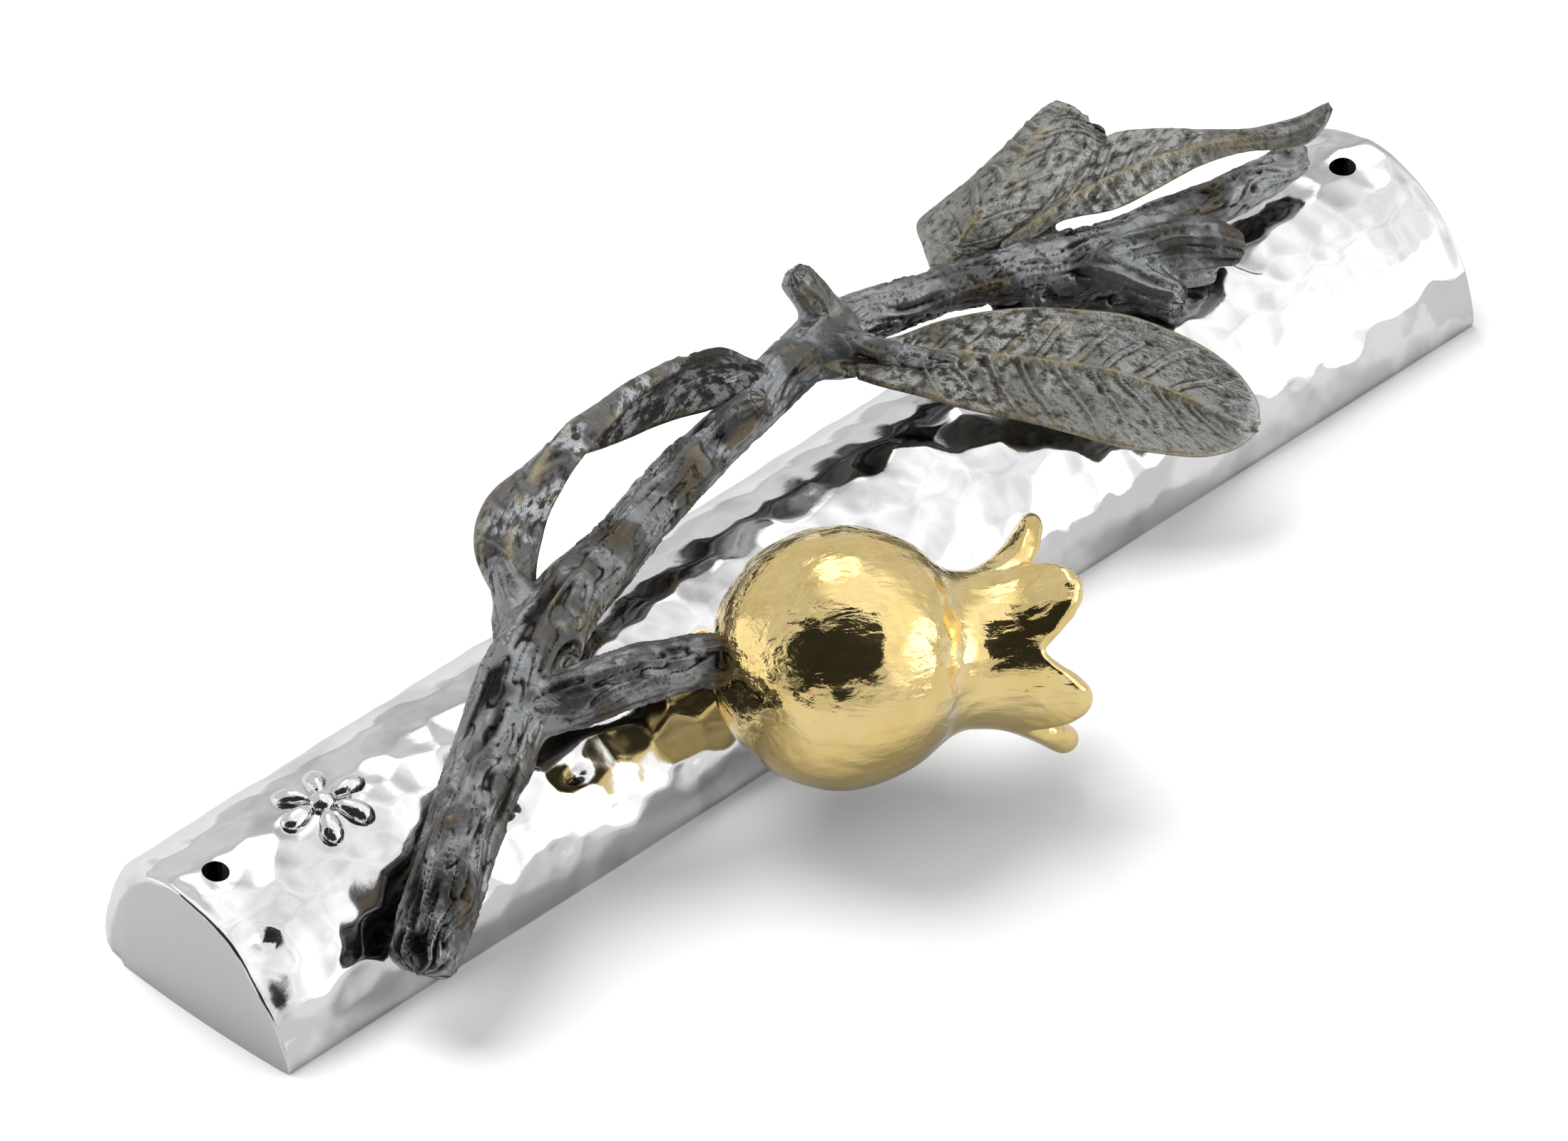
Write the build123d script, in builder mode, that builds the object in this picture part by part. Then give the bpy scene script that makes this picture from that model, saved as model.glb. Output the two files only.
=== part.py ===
from build123d import *
import os
from math import cos, pi, radians, sin, sqrt

# Mezuzah case: a half-round cast case with a sliding back plate, holding a rolled parchment in a clear
# sleeve. A cast branch with leaves and a gilt pomegranate stands on feet along the case's crest.
# Frame: origin at the centre of the flat back, +X along the case towards its upper end, +Z out of the
# back, and the pomegranate on the -Y side. Millimetres.

# Case
case_length = 180.0
case_radius = 16.2
wall = 2.0
end_bulge = 0.75  # how far the middle of each end stands proud of its corners
end_round = 0.35
cavity_half = 78.5
wall_screw_spacing = 169.0
wall_screw_radius = 1.5

# Back plate and the grooves it slides in
ledge = 1.0
opening_half = 13.2
plate_half = 14.8
plate_thickness = 1.1
groove_gap = 0.05
plate_side_gap = 0.1
plate_near_end = -79.3
plate_far_end = 89.0
plate_screw_radius = 1.8
grip_pitch = 2.2
grip_count = 4
grip_length = 16.0
grip_width = 1.1
grip_depth = 0.4

# Scroll and what holds it
scroll_length = 100.0
sleeve_radius = 5.0
sleeve_wall = 0.35
sleeve_length = 104.0
scroll_axis_z = 8.7
parchment = 0.25
scroll_pitch = 0.42
scroll_turns = 4
cushion_length = 10.0
cushion_offset = 38.0

# Branch fixings: (place along the case, lean from upright towards -Y in degrees)
near_foot = (-60.0, 37.0)
far_foot = (62.0, -6.0)
foot_radius = 2.0
fixing_radius = 1.2
screw_reach = 4.2
head_radius = 2.3
head_height = 1.3
washer_radius = 2.9
washer_thickness = 0.4
seat_radius = 3.2
seat_height = 14.2

# Pomegranate
fruit_radius = 14.1
fruit_wall = 1.2
fruit_mouth = 6.4
neck_radius = 7.5
crown_height = 24.0
crown_radius = 12.9
crown_notch = 8.8
crown_wall = 1.2
crown_lobes = 5
first_lobe = -10  # degrees round the axis from fruit_up
stud_radius = 1.25
stud_length = 12.0
nut_flats = 4.6
nut_height = 2.2

# Emblem
emblem_x = -69.0
petal_count = 6
petal_reach = 5.2
petal_half = 1.35
emblem_height = 0.8
pin_spacing = 3.4
pin_radius = 0.6
pin_length = 3.8
push_nut_radius = 1.5
pin_places = (emblem_x - pin_spacing, emblem_x + pin_spacing)
bead_radius = 1.7

fruit_centre = Vector(-16.0, -24.3, 19.5)
fruit_axis = Vector(0.860, -0.493, -0.128).normalized()
fruit_up = Vector(0.398, 0.493, 0.773)  # towards the first lobe of the crown, square to the axis
fruit_plane = Plane(origin=fruit_centre, x_dir=fruit_up, z_dir=fruit_axis)
fruit_side = fruit_plane.x_dir.cross(fruit_axis)
fruit_section = Plane(origin=fruit_centre, x_dir=fruit_plane.x_dir, z_dir=fruit_side)
fruit_turn = Axis(fruit_centre, fruit_axis)
case_bulge_radius = (case_radius**2 + end_bulge**2) / (2 * end_bulge)

# Round limbs: (centre, radius) stations from the thick end to the thin end
branch_stations = [
    ((-73.4, -19.8, 9.1), 4.1),
    ((-64.4, -15.7, 15.5), 4.2),
    ((-53.0, -9.2, 18.6), 4.6),
    ((-42.9, -3.7, 21.1), 5.0),
    ((-33.4, 0.2, 22.1), 4.6),
    ((-20.4, 3.9, 22.1), 3.8),
    ((-8.6, 7.4, 22.1), 3.5),
    ((2.0, 9.6, 22.6), 3.2),
    ((11.3, 11.4, 23.1), 3.1),
    ((19.4, 12.0, 23.1), 3.1),
    ((28.3, 10.1, 23.1), 2.7),
    ((38.5, 7.3, 22.5), 2.9),
    ((46.8, 4.7, 21.8), 3.2),
    ((55.0, 2.2, 21.3), 3.0),
]
tip_twig_stations = [
    ((51.3, 3.4, 21.6), 2.5),
    ((58.0, 2.5, 21.4), 3.0),
    ((66.8, 1.4, 20.5), 3.0),
    ((73.3, 1.0, 20.1), 2.7),
    ((79.8, 1.2, 19.7), 2.3),
]
bud_stations = [
    ((51.2, 1.4, 21.4), 2.8),
    ((54.6, -0.6, 21.0), 3.4),
    ((59.4, -3.6, 20.3), 3.0),
    ((63.4, -5.8, 19.3), 1.3),
]
knot_stations = [
    ((-2.8, 8.0, 22.7), 2.6),
    ((0.0, 6.5, 25.7), 2.5),
    ((1.0, 5.8, 26.9), 2.2),
]
stub_stations = [
    ((18.6, 12.2, 23.1), 2.6),
    ((17.4, 14.5, 27.1), 2.3),
    ((15.9, 16.0, 30.5), 1.9),
]
fruit_stem_stations = [
    ((-48.7, -7.1, 20.2), 3.1),
    ((-42.9, -10.6, 21.3), 3.2),
    ((-36.7, -13.0, 22.1), 3.2),
    ((-31.3, -15.2, 22.1), 3.0),
    ((-26.4, -17.6, 21.3), 3.0),
]

# Leaves: (centre of the blade, direction across it, half width) stations from root to tip
broad_leaf_stations = [
    ((17.2, 7.8, 23.3), (0.70, 0.66, 0.22), 2.6),
    ((21.6, 2.8, 22.8), (0.67, 0.68, 0.28), 4.6),
    ((26.6, -0.8, 21.8), (0.67, 0.68, 0.31), 6.4),
    ((32.0, -4.4, 20.4), (0.67, 0.67, 0.31), 7.8),
    ((37.9, -9.3, 18.2), (0.67, 0.67, 0.31), 8.6),
    ((43.4, -14.3, 15.7), (0.71, 0.63, 0.30), 8.0),
    ((47.2, -18.5, 13.9), (0.76, 0.57, 0.31), 5.6),
    ((49.6, -22.0, 12.7), (0.76, 0.55, 0.34), 1.2),
]
arch_leaf_stations = [
    ((-37.0, 4.2, 22.3), (0.95, -0.25, 0.05), 2.0),
    ((-33.8, 9.0, 24.5), (0.85, -0.52, 0.03), 3.4),
    ((-30.8, 11.0, 26.3), (0.78, -0.62, 0.05), 3.8),
    ((-26.4, 12.6, 27.9), (0.60, -0.77, 0.16), 3.7),
    ((-21.2, 13.5, 29.0), (0.36, -0.82, 0.38), 3.6),
    ((-16.0, 13.2, 29.2), (0.30, -0.62, 0.70), 3.5),
    ((-11.0, 12.4, 28.8), (0.33, -0.32, 0.88), 3.3),
    ((-5.7, 12.0, 28.1), (0.44, -0.05, 0.88), 3.1),
    ((0.0, 11.8, 26.9), (0.52, 0.08, 0.84), 2.6),
    ((6.8, 11.6, 24.7), (0.52, 0.12, 0.84), 1.2),
]
folded_leaf_stations = [
    ((35.4, 10.3, 23.1), (-0.66, 0.74, 0.05), 2.2),
    ((39.4, 13.7, 24.1), (-0.64, 0.76, 0.05), 4.8),
    ((43.8, 14.1, 26.3), (-0.74, 0.65, 0.10), 5.5),
    ((48.6, 14.0, 28.3), (-0.80, 0.55, 0.16), 4.8),
    ((52.8, 14.4, 29.8), (-0.80, 0.52, 0.24), 3.2),
    ((55.8, 14.9, 30.9), (-0.75, 0.58, 0.32), 1.0),
]
tip_leaf_stations = [
    ((41.8, 7.1, 24.0), (0.70, 0.60, 0.38), 2.2),
    ((47.4, 7.9, 25.2), (0.76, 0.52, 0.37), 4.0),
    ((53.0, 8.1, 26.3), (0.79, 0.50, 0.35), 5.0),
    ((58.2, 6.7, 27.1), (0.80, 0.46, 0.36), 4.6),
    ((63.6, 4.4, 27.0), (0.83, 0.36, 0.42), 3.1),
    ((68.6, 2.3, 26.8), (0.82, 0.28, 0.48), 1.8),
    ((73.2, 0.3, 26.8), (0.80, 0.30, 0.50), 1.4),
    ((77.0, -1.5, 27.4), (0.74, 0.44, 0.50), 1.3),
    ((80.0, -2.9, 28.6), (0.66, 0.55, 0.50), 0.6),
]
leaf_half_thickness = 0.65


def along(points, index):
    """Direction of travel at one point of a crooked line."""
    return points[min(index + 1, len(points) - 1)] - points[max(index - 1, 0)]


def round_sections(stations):
    """Circles along a limb, square to its run."""
    points = [Vector(*point) for point, radius in stations]
    sections = []
    for index, (point, radius) in enumerate(stations):
        run = along(points, index)
        with BuildSketch(Plane(origin=point, x_dir=run.cross(Vector(0, 0, 1)), z_dir=run)) as section:
            Circle(radius)
        sections.append(section.sketch)
    return sections


def blade_sections(stations):
    """Thin ovals along a leaf, square to its run and lying in the blade."""
    points = [Vector(*point) for point, across, half_width in stations]
    sections = []
    for index, (point, across, half_width) in enumerate(stations):
        run = along(points, index)
        side = run.cross(Vector(*across)).cross(run)
        half_thickness = min(leaf_half_thickness, 0.8 * half_width)
        with BuildSketch(Plane(origin=point, x_dir=side, z_dir=run)) as section:
            Ellipse(half_width, half_thickness)
        sections.append(section.sketch)
    return sections


def fixing_plane(foot):
    """Plane across the case's axis line, facing out along one foot."""
    place, lean = foot
    return Plane(origin=(place, 0, 0), x_dir=(1, 0, 0), z_dir=(0, -sin(radians(lean)), cos(radians(lean))))


def disc(plane, height, radius, thickness):
    """Round slug on a plane, starting at a height above it."""
    with BuildSketch(plane.offset(height)) as outline:
        Circle(radius)
    extrude(outline.sketch, amount=thickness)


def roll_end(length):
    """Plane across the scroll's axis at one end of a roll of this length."""
    return Plane(origin=(-length / 2, 0, scroll_axis_z), x_dir=(0, 1, 0), z_dir=(1, 0, 0))


def spiral(start_radius):
    """Points winding inward, twelve to a turn."""
    points = []
    for step in range(12 * scroll_turns + 1):
        radius = start_radius - scroll_pitch * step / 12
        points.append((radius * cos(pi * step / 6), radius * sin(pi * step / 6)))
    return points


feet = [fixing_plane(near_foot), fixing_plane(far_foot)]
star = []
for corner in range(2 * crown_lobes):
    reach = crown_radius + 0.1 if corner % 2 == 0 else crown_notch
    turn = radians(first_lobe + corner * 180 / crown_lobes)
    star.append((reach * cos(turn), reach * sin(turn)))
groove_floor = ledge
groove_roof = ledge + plate_thickness + 2 * groove_gap
groove_half = plate_half + plate_side_gap

with BuildPart() as case_shell:
    corner = case_length / 2 - end_bulge
    with BuildSketch():
        with BuildLine():
            Line((-corner, -case_radius), (corner, -case_radius))
            ThreePointArc((corner, -case_radius), (case_length / 2, 0), (corner, case_radius))
            Line((corner, case_radius), (-corner, case_radius))
            ThreePointArc((-corner, case_radius), (-case_length / 2, 0), (-corner, -case_radius))
        make_face()
    extrude(amount=case_radius + 1)
    with BuildSketch(Plane.YZ.offset(-case_length / 2 - 1)):
        Circle(case_radius)
    extrude(amount=case_length + 2, mode=Mode.INTERSECT)
    rims = [case_shell.faces().sort_by(Axis.X)[end].edges().sort_by(Axis.Z)[-1] for end in (0, -1)]
    fillet(rims, end_round)
    # Half-round hollow above the plate
    with BuildSketch(Plane.YZ.offset(-cavity_half)):
        Circle(case_radius - wall)
        with Locations((0, (groove_roof - case_radius) / 2)):
            Rectangle(2 * case_radius, case_radius + groove_roof, mode=Mode.SUBTRACT)
    extrude(amount=2 * cavity_half, mode=Mode.SUBTRACT)
    # Grooves, open through the upper end
    with BuildSketch(Plane.XY.offset(groove_floor)):
        with Locations((plate_near_end - 0.2, 0)):
            Rectangle(2 * case_length, 2 * groove_half, align=(Align.MIN, Align.CENTER))
    extrude(amount=groove_roof - groove_floor, mode=Mode.SUBTRACT)
    # Opening in the flat back
    with BuildSketch():
        RectangleRounded(2 * cavity_half, 2 * opening_half, 3)
    extrude(amount=ledge, mode=Mode.SUBTRACT)
    # Holes for the two wall screws
    with Locations((-wall_screw_spacing / 2, 0, 0), (wall_screw_spacing / 2, 0, 0)):
        Cylinder(wall_screw_radius, 3 * case_radius, mode=Mode.SUBTRACT)
    # Seats and holes for the branch screws
    for foot in feet:
        with BuildSketch(foot.offset(10)):
            Circle(seat_radius)
        extrude(amount=seat_height - 10, mode=Mode.SUBTRACT)
        with BuildSketch(foot.offset(10)):
            Circle(fixing_radius + 0.1)
        extrude(amount=10, mode=Mode.SUBTRACT)
    # Holes for the emblem's pins
    with Locations(*[(x, 0, 0) for x in pin_places]):
        Cylinder(pin_radius, 3 * case_radius, mode=Mode.SUBTRACT)
case_shell.part.label = "case_shell"

with BuildPart() as back_plate:
    with BuildSketch(Plane.XY.offset(ledge + groove_gap)):
        with Locations((plate_near_end, 0)):
            Rectangle(plate_far_end - plate_near_end, 2 * plate_half, align=(Align.MIN, Align.CENTER))
        with Locations((wall_screw_spacing / 2, 0)):
            Circle(plate_screw_radius, mode=Mode.SUBTRACT)
    extrude(amount=plate_thickness)
    fillet(back_plate.edges().filter_by(Axis.Z).group_by(Axis.X)[0], 2)
    # Thumb grooves in the outer face, near the upper end
    with BuildSketch(Plane.XY.offset(ledge + groove_gap)):
        with Locations((cavity_half - 14, 0)):
            with GridLocations(grip_pitch, 0, grip_count, 1):
                SlotOverall(grip_length, grip_width, rotation=90)
    extrude(amount=grip_depth, mode=Mode.SUBTRACT)
back_plate.part.label = "back_plate"

with BuildPart() as scroll:
    # Parchment rolled into a spiral: out along one face of the sheet, then back along the other
    outer_face = spiral(sleeve_radius - sleeve_wall - 0.1)
    inner_face = spiral(sleeve_radius - sleeve_wall - 0.1 - parchment)
    with BuildSketch(roll_end(scroll_length)):
        with BuildLine():
            Spline(*outer_face)
            Line(outer_face[-1], inner_face[-1])
            Spline(*inner_face)
            Line(inner_face[0], outer_face[0])
        make_face()
    extrude(amount=scroll_length)
scroll.part.label = "scroll"

with BuildPart() as scroll_sleeve:
    with BuildSketch(roll_end(sleeve_length)):
        Circle(sleeve_radius)
        Circle(sleeve_radius - sleeve_wall, mode=Mode.SUBTRACT)
    extrude(amount=sleeve_length)
scroll_sleeve.part.label = "scroll_sleeve"

with BuildPart() as scroll_cushions:
    for start in (-cushion_offset - cushion_length / 2, cushion_offset - cushion_length / 2):
        with BuildSketch(Plane.YZ.offset(start)):
            Circle(case_radius - wall - 0.05)
            with Locations((0, (groove_roof + 0.1 - case_radius) / 2)):
                Rectangle(2 * case_radius, case_radius + groove_roof + 0.1, mode=Mode.SUBTRACT)
            with Locations((0, scroll_axis_z)):
                Circle(sleeve_radius + 0.05, mode=Mode.SUBTRACT)
        extrude(amount=cushion_length)
scroll_cushions.part.label = "scroll_cushions"

with BuildPart() as main_branch:
    loft(round_sections(branch_stations))
    # Cut knot on the upper side
    loft(round_sections(knot_stations))
    # Foot that stands on the case and takes the lower screw
    with BuildSketch(feet[0].offset(case_radius - 0.3)):
        Circle(foot_radius)
    extrude(amount=6)
    add(case_shell.part, mode=Mode.SUBTRACT)
    with BuildSketch(feet[0].offset(case_radius - 1)):
        Circle(fixing_radius)
    extrude(amount=screw_reach + 1, mode=Mode.SUBTRACT)
main_branch.part.label = "main_branch"

with BuildPart() as tip_twig:
    loft(round_sections(tip_twig_stations))
    with BuildSketch(feet[1].offset(case_radius - 0.3)):
        Circle(foot_radius)
    extrude(amount=5)
    add(case_shell.part, mode=Mode.SUBTRACT)
    add(main_branch.part, mode=Mode.SUBTRACT)
    with BuildSketch(feet[1].offset(case_radius - 1)):
        Circle(fixing_radius)
    extrude(amount=screw_reach + 1, mode=Mode.SUBTRACT)
tip_twig.part.label = "tip_twig"

with BuildPart() as side_bud:
    loft(round_sections(bud_stations))
    add(main_branch.part, mode=Mode.SUBTRACT)
    add(tip_twig.part, mode=Mode.SUBTRACT)
side_bud.part.label = "side_bud"

with BuildPart() as stub_twig:
    loft(round_sections(stub_stations))
    add(main_branch.part, mode=Mode.SUBTRACT)
stub_twig.part.label = "stub_twig"

with BuildPart() as pomegranate:
    # Hollow globe, open at the mouth under the crown
    with BuildSketch(fruit_section):
        with BuildLine():
            CenterArc((0, 0), fruit_radius, -90, 180)
            Line((0, fruit_radius), (0, -fruit_radius))
        make_face()
        Circle(fruit_radius - fruit_wall, mode=Mode.SUBTRACT)
        with Locations((0, fruit_radius)):
            Rectangle(2 * fruit_mouth, fruit_radius, mode=Mode.SUBTRACT)
    revolve(axis=fruit_turn)
    with BuildSketch(fruit_plane.offset(-fruit_radius - 1)):
        Circle(stud_radius)
    extrude(amount=4, mode=Mode.SUBTRACT)
pomegranate.part.label = "pomegranate"

with BuildPart() as pomegranate_crown:
    # Flared cup, cut to a star of pointed lobes
    rim = sqrt(fruit_radius**2 - neck_radius**2)
    with BuildSketch(fruit_section):
        with BuildLine():
            Polyline((neck_radius + 0.3, rim - 1.2), (neck_radius - 0.3, rim + 1.6))
            Spline((neck_radius - 0.3, rim + 1.6), (neck_radius + 1.2, 18.2), (crown_radius, crown_height))
            Line((crown_radius, crown_height), (crown_radius - crown_wall, crown_height + 0.3))
            Spline(
                (crown_radius - crown_wall, crown_height + 0.3),
                (neck_radius + 0.1, 18.8),
                (neck_radius - 0.3 - crown_wall, rim + 1.6),
            )
            Line((neck_radius - 0.3 - crown_wall, rim + 1.6), (neck_radius - 0.3 - crown_wall, rim - 1.2))
            Line((neck_radius - 0.3 - crown_wall, rim - 1.2), (neck_radius + 0.3, rim - 1.2))
        make_face()
    revolve(axis=fruit_turn)
    with BuildSketch(fruit_plane.offset(rim - 3)):
        with BuildLine():
            Polyline(*star, close=True)
        make_face()
        Circle(crown_notch)
    extrude(amount=crown_height, mode=Mode.INTERSECT)
    add(pomegranate.part, mode=Mode.SUBTRACT)
pomegranate_crown.part.label = "pomegranate_crown"

with BuildPart() as fruit_stem:
    loft(round_sections(fruit_stem_stations))
    add(main_branch.part, mode=Mode.SUBTRACT)
    # Rounded by the globe it butts against, and drilled for the stud
    with BuildSketch(fruit_section):
        with BuildLine():
            CenterArc((0, 0), fruit_radius, -90, 180)
            Line((0, fruit_radius), (0, -fruit_radius))
        make_face()
    revolve(axis=fruit_turn, mode=Mode.SUBTRACT)
    with BuildSketch(fruit_plane.offset(-fruit_radius - stud_length / 2)):
        Circle(stud_radius)
    extrude(amount=stud_length, mode=Mode.SUBTRACT)
fruit_stem.part.label = "fruit_stem"

with BuildPart() as fruit_stud:
    with BuildSketch(fruit_plane.offset(-fruit_radius - stud_length / 2)):
        Circle(stud_radius)
    extrude(amount=stud_length)
fruit_stud.part.label = "fruit_stud"

with BuildPart() as fruit_nut:
    with BuildSketch(fruit_plane.offset(-fruit_radius + fruit_wall + 0.3)):
        RegularPolygon(nut_flats / 2, 6, major_radius=False)
        Circle(stud_radius, mode=Mode.SUBTRACT)
    extrude(amount=nut_height)
fruit_nut.part.label = "fruit_nut"

with BuildPart() as broad_leaf:
    loft(blade_sections(broad_leaf_stations), ruled=True)
    add(main_branch.part, mode=Mode.SUBTRACT)
broad_leaf.part.label = "broad_leaf"

with BuildPart() as arch_leaf:
    loft(blade_sections(arch_leaf_stations), ruled=True)
    add(main_branch.part, mode=Mode.SUBTRACT)
arch_leaf.part.label = "arch_leaf"

with BuildPart() as folded_leaf:
    loft(blade_sections(folded_leaf_stations), ruled=True)
    add(main_branch.part, mode=Mode.SUBTRACT)
folded_leaf.part.label = "folded_leaf"

with BuildPart() as tip_leaf:
    loft(blade_sections(tip_leaf_stations), ruled=True)
    add(main_branch.part, mode=Mode.SUBTRACT)
    add(folded_leaf.part, mode=Mode.SUBTRACT)
tip_leaf.part.label = "tip_leaf"

with BuildPart() as branch_screws:
    for foot in feet:
        disc(foot, seat_height - washer_thickness - head_height, head_radius, head_height)
        disc(foot, seat_height - washer_thickness, fixing_radius, washer_thickness + wall + screw_reach - 1)
branch_screws.part.label = "branch_screws"

with BuildPart() as branch_washers:
    for foot in feet:
        with BuildSketch(foot.offset(seat_height - washer_thickness)) as washer:
            Circle(washer_radius)
            Circle(fixing_radius + 0.05, mode=Mode.SUBTRACT)
        extrude(washer.sketch, amount=washer_thickness)
branch_washers.part.label = "branch_washers"

with BuildSketch() as petal:
    with BuildLine():
        ThreePointArc((0.8, 0), (petal_reach * 0.6, petal_half), (petal_reach, 0))
        ThreePointArc((petal_reach, 0), (petal_reach * 0.6, -petal_half), (0.8, 0))
    make_face()

with BuildPart() as front_emblem:
    # Bead ringed by pointed petals, saddled on the crest
    with BuildSketch(Plane.XY.offset(case_radius - 1)):
        with Locations((emblem_x, 0)):
            Circle(bead_radius)
            with PolarLocations(0, petal_count):
                add(petal.sketch)
    extrude(amount=1 + emblem_height)
    with Locations(*[(x, 0, case_radius - 1.4) for x in pin_places]):
        Cylinder(pin_radius, pin_length)
    add(case_shell.part, mode=Mode.SUBTRACT)
front_emblem.part.label = "front_emblem"

with BuildPart() as emblem_push_nuts:
    with BuildSketch(Plane.XY.offset(case_radius - wall - 0.6)):
        with Locations(*[(x, 0) for x in pin_places]):
            Circle(push_nut_radius)
            Circle(pin_radius, mode=Mode.SUBTRACT)
    extrude(amount=0.4)
emblem_push_nuts.part.label = "emblem_push_nuts"

os.makedirs("parts", exist_ok=True)
for piece in (
    case_shell,
    back_plate,
    scroll,
    scroll_sleeve,
    scroll_cushions,
    main_branch,
    tip_twig,
    side_bud,
    stub_twig,
    fruit_stem,
    pomegranate,
    pomegranate_crown,
    fruit_stud,
    fruit_nut,
    broad_leaf,
    arch_leaf,
    folded_leaf,
    tip_leaf,
    branch_screws,
    branch_washers,
    front_emblem,
    emblem_push_nuts,
):
    export_step(piece.part, f"parts/{piece.part.label}.step")
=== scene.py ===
import math
from contextlib import contextmanager

import bmesh
import bpy
import numpy as np
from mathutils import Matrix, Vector


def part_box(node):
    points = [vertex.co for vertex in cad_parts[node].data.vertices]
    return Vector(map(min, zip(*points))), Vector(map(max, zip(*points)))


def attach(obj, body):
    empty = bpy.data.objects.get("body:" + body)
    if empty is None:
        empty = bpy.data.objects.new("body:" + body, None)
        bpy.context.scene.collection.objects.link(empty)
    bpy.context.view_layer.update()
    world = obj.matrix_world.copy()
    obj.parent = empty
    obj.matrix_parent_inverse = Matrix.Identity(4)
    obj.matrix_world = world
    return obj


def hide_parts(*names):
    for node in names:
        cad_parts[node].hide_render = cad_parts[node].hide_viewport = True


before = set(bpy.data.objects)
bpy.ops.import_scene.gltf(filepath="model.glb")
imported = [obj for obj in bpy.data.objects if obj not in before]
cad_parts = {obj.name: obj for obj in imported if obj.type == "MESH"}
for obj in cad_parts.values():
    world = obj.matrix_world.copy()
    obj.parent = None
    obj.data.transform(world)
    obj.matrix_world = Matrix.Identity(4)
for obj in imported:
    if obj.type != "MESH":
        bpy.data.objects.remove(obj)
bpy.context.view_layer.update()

# Everything below is worked out in millimetres, and turned into metres as meshes are made
MM = 0.001


# ---- measures

def box_mm(*nodes):
    """Lowest and highest corner of one or more CAD nodes."""
    corners = [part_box(node) for node in nodes]
    low = np.min([np.array(c[0]) for c in corners], axis=0) / MM
    high = np.max([np.array(c[1]) for c in corners], axis=0) / MM
    return low, high


def centre_of(node):
    low, high = box_mm(node)
    return (low + high) / 2


def unit(rows):
    return rows / np.maximum(np.linalg.norm(rows, axis=-1, keepdims=True), 1e-9)


# The photo's camera: the way from the object to it, and its picture's right and up
TOWARD_CAMERA = unit(np.array((-0.532, -0.548, 0.645)))
CAMERA_RIGHT = unit(np.cross((0, 0, 1), TOWARD_CAMERA))
CAMERA_UP = np.cross(TOWARD_CAMERA, CAMERA_RIGHT)

CASE_HIGH = box_mm("case_shell")[1]
CASE_RADIUS = float(CASE_HIGH[2])
CASE_HALF = float(CASE_HIGH[0])
END_BULGE = 0.75  # how far the middle of each end stands out beyond its sides

# Limbs and leaves are drawn for a main branch with its middle here, and move along with the CAD one
DRAWN_MIDDLE = np.array((-10.1, -4.2, 17.1))
BRANCH_SHIFT = centre_of("main_branch") - DRAWN_MIDDLE

FRUIT = centre_of("pomegranate")
FRUIT_RADIUS = float(np.ptp(np.array(box_mm("pomegranate"))[:, 0])) / 2
FRUIT_AXIS = unit(np.array((0.860, -0.493, -0.128)))
FRUIT_UP = np.array((0.398, 0.493, 0.773))
EMBLEM = centre_of("front_emblem")


def share(values):
    """Values held between 0 and 1."""
    return np.clip(values, 0, 1)


def bell(values, width):
    return np.exp(-((values / width) ** 2))


# ---- noise

def lattice_noise(points, seed):
    """Smooth noise in -1..1 at rows of three coordinates, one feature per unit."""
    cell = np.floor(points).astype(np.int64)
    part = points - cell
    part = part * part * (3 - 2 * part)

    def corner(dx, dy, dz):
        key = (cell[:, 0] + dx) * 73856093 ^ (cell[:, 1] + dy) * 19349663 ^ (cell[:, 2] + dz) * 83492791
        key = (key ^ (seed * 2654435761)) & 0xFFFFFFFF
        key = ((key ^ (key >> 13)) * 1274126177) & 0xFFFFFFFF
        return ((key ^ (key >> 16)) & 0xFFFF) / 32767.5 - 1

    total = np.zeros(len(points))
    for dx in (0, 1):
        for dy in (0, 1):
            for dz in (0, 1):
                weight = 1.0
                for axis, step in enumerate((dx, dy, dz)):
                    weight = weight * (part[:, axis] if step else 1 - part[:, axis])
                total += weight * corner(dx, dy, dz)
    return total


def fractal(points, seed, octaves=3):
    """Layers of noise, each half as large and half as strong as the one before."""
    total = np.zeros(len(points))
    for octave in range(octaves):
        total += lattice_noise(points * 2**octave + 17.3 * octave, seed + octave) / 2**octave
    return total


def dents(sheet, size, seed):
    """Hammer marks on an unrolled sheet: 0 in the middle of each, 1 on the soft ridges between."""
    jitter = 0.36  # of a mark's size
    at_once = 8000  # points, to spare memory
    rng = np.random.default_rng(seed)
    low, high = sheet.min(0) - 2 * size, sheet.max(0) + 2 * size
    columns = np.arange(low[0], high[0], size)
    rows = np.arange(low[1], high[1], size)
    centres = np.array([(x + (j % 2) * size / 2, y) for x in columns for j, y in enumerate(rows)])
    centres += rng.uniform(-jitter, jitter, centres.shape) * size
    sharpness = 14 / size**2
    nearest = np.zeros(len(sheet))
    for start in range(0, len(sheet), at_once):
        block = sheet[start:start + at_once]
        gap = ((block[:, None, :] - centres[None, :, :]) ** 2).sum(2)
        low_gap = gap.min(1, keepdims=True)
        soft = low_gap[:, 0] - np.log(np.exp(-sharpness * (gap - low_gap)).sum(1)) / sharpness
        nearest[start:start + at_once] = soft
    return np.clip(nearest / (0.42 * size**2) + 0.12, 0, 1.4)


# ---- mesh tools

def put_in_scene(name, data):
    made = bpy.data.objects.new(name, data)
    bpy.context.scene.collection.objects.link(made)
    return made


def new_object(name, points, faces):
    """Object with a mesh through points given in millimetres."""
    mesh = bpy.data.meshes.new(name)
    mesh.from_pydata((np.asarray(points) * MM).tolist(), [], faces)
    mesh.update()
    return put_in_scene(name, mesh)


def read(items, name, width=3, kind=float):
    flat = np.zeros(len(items) * width, kind)
    items.foreach_get(name, flat)
    return flat.reshape(-1, width)


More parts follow.
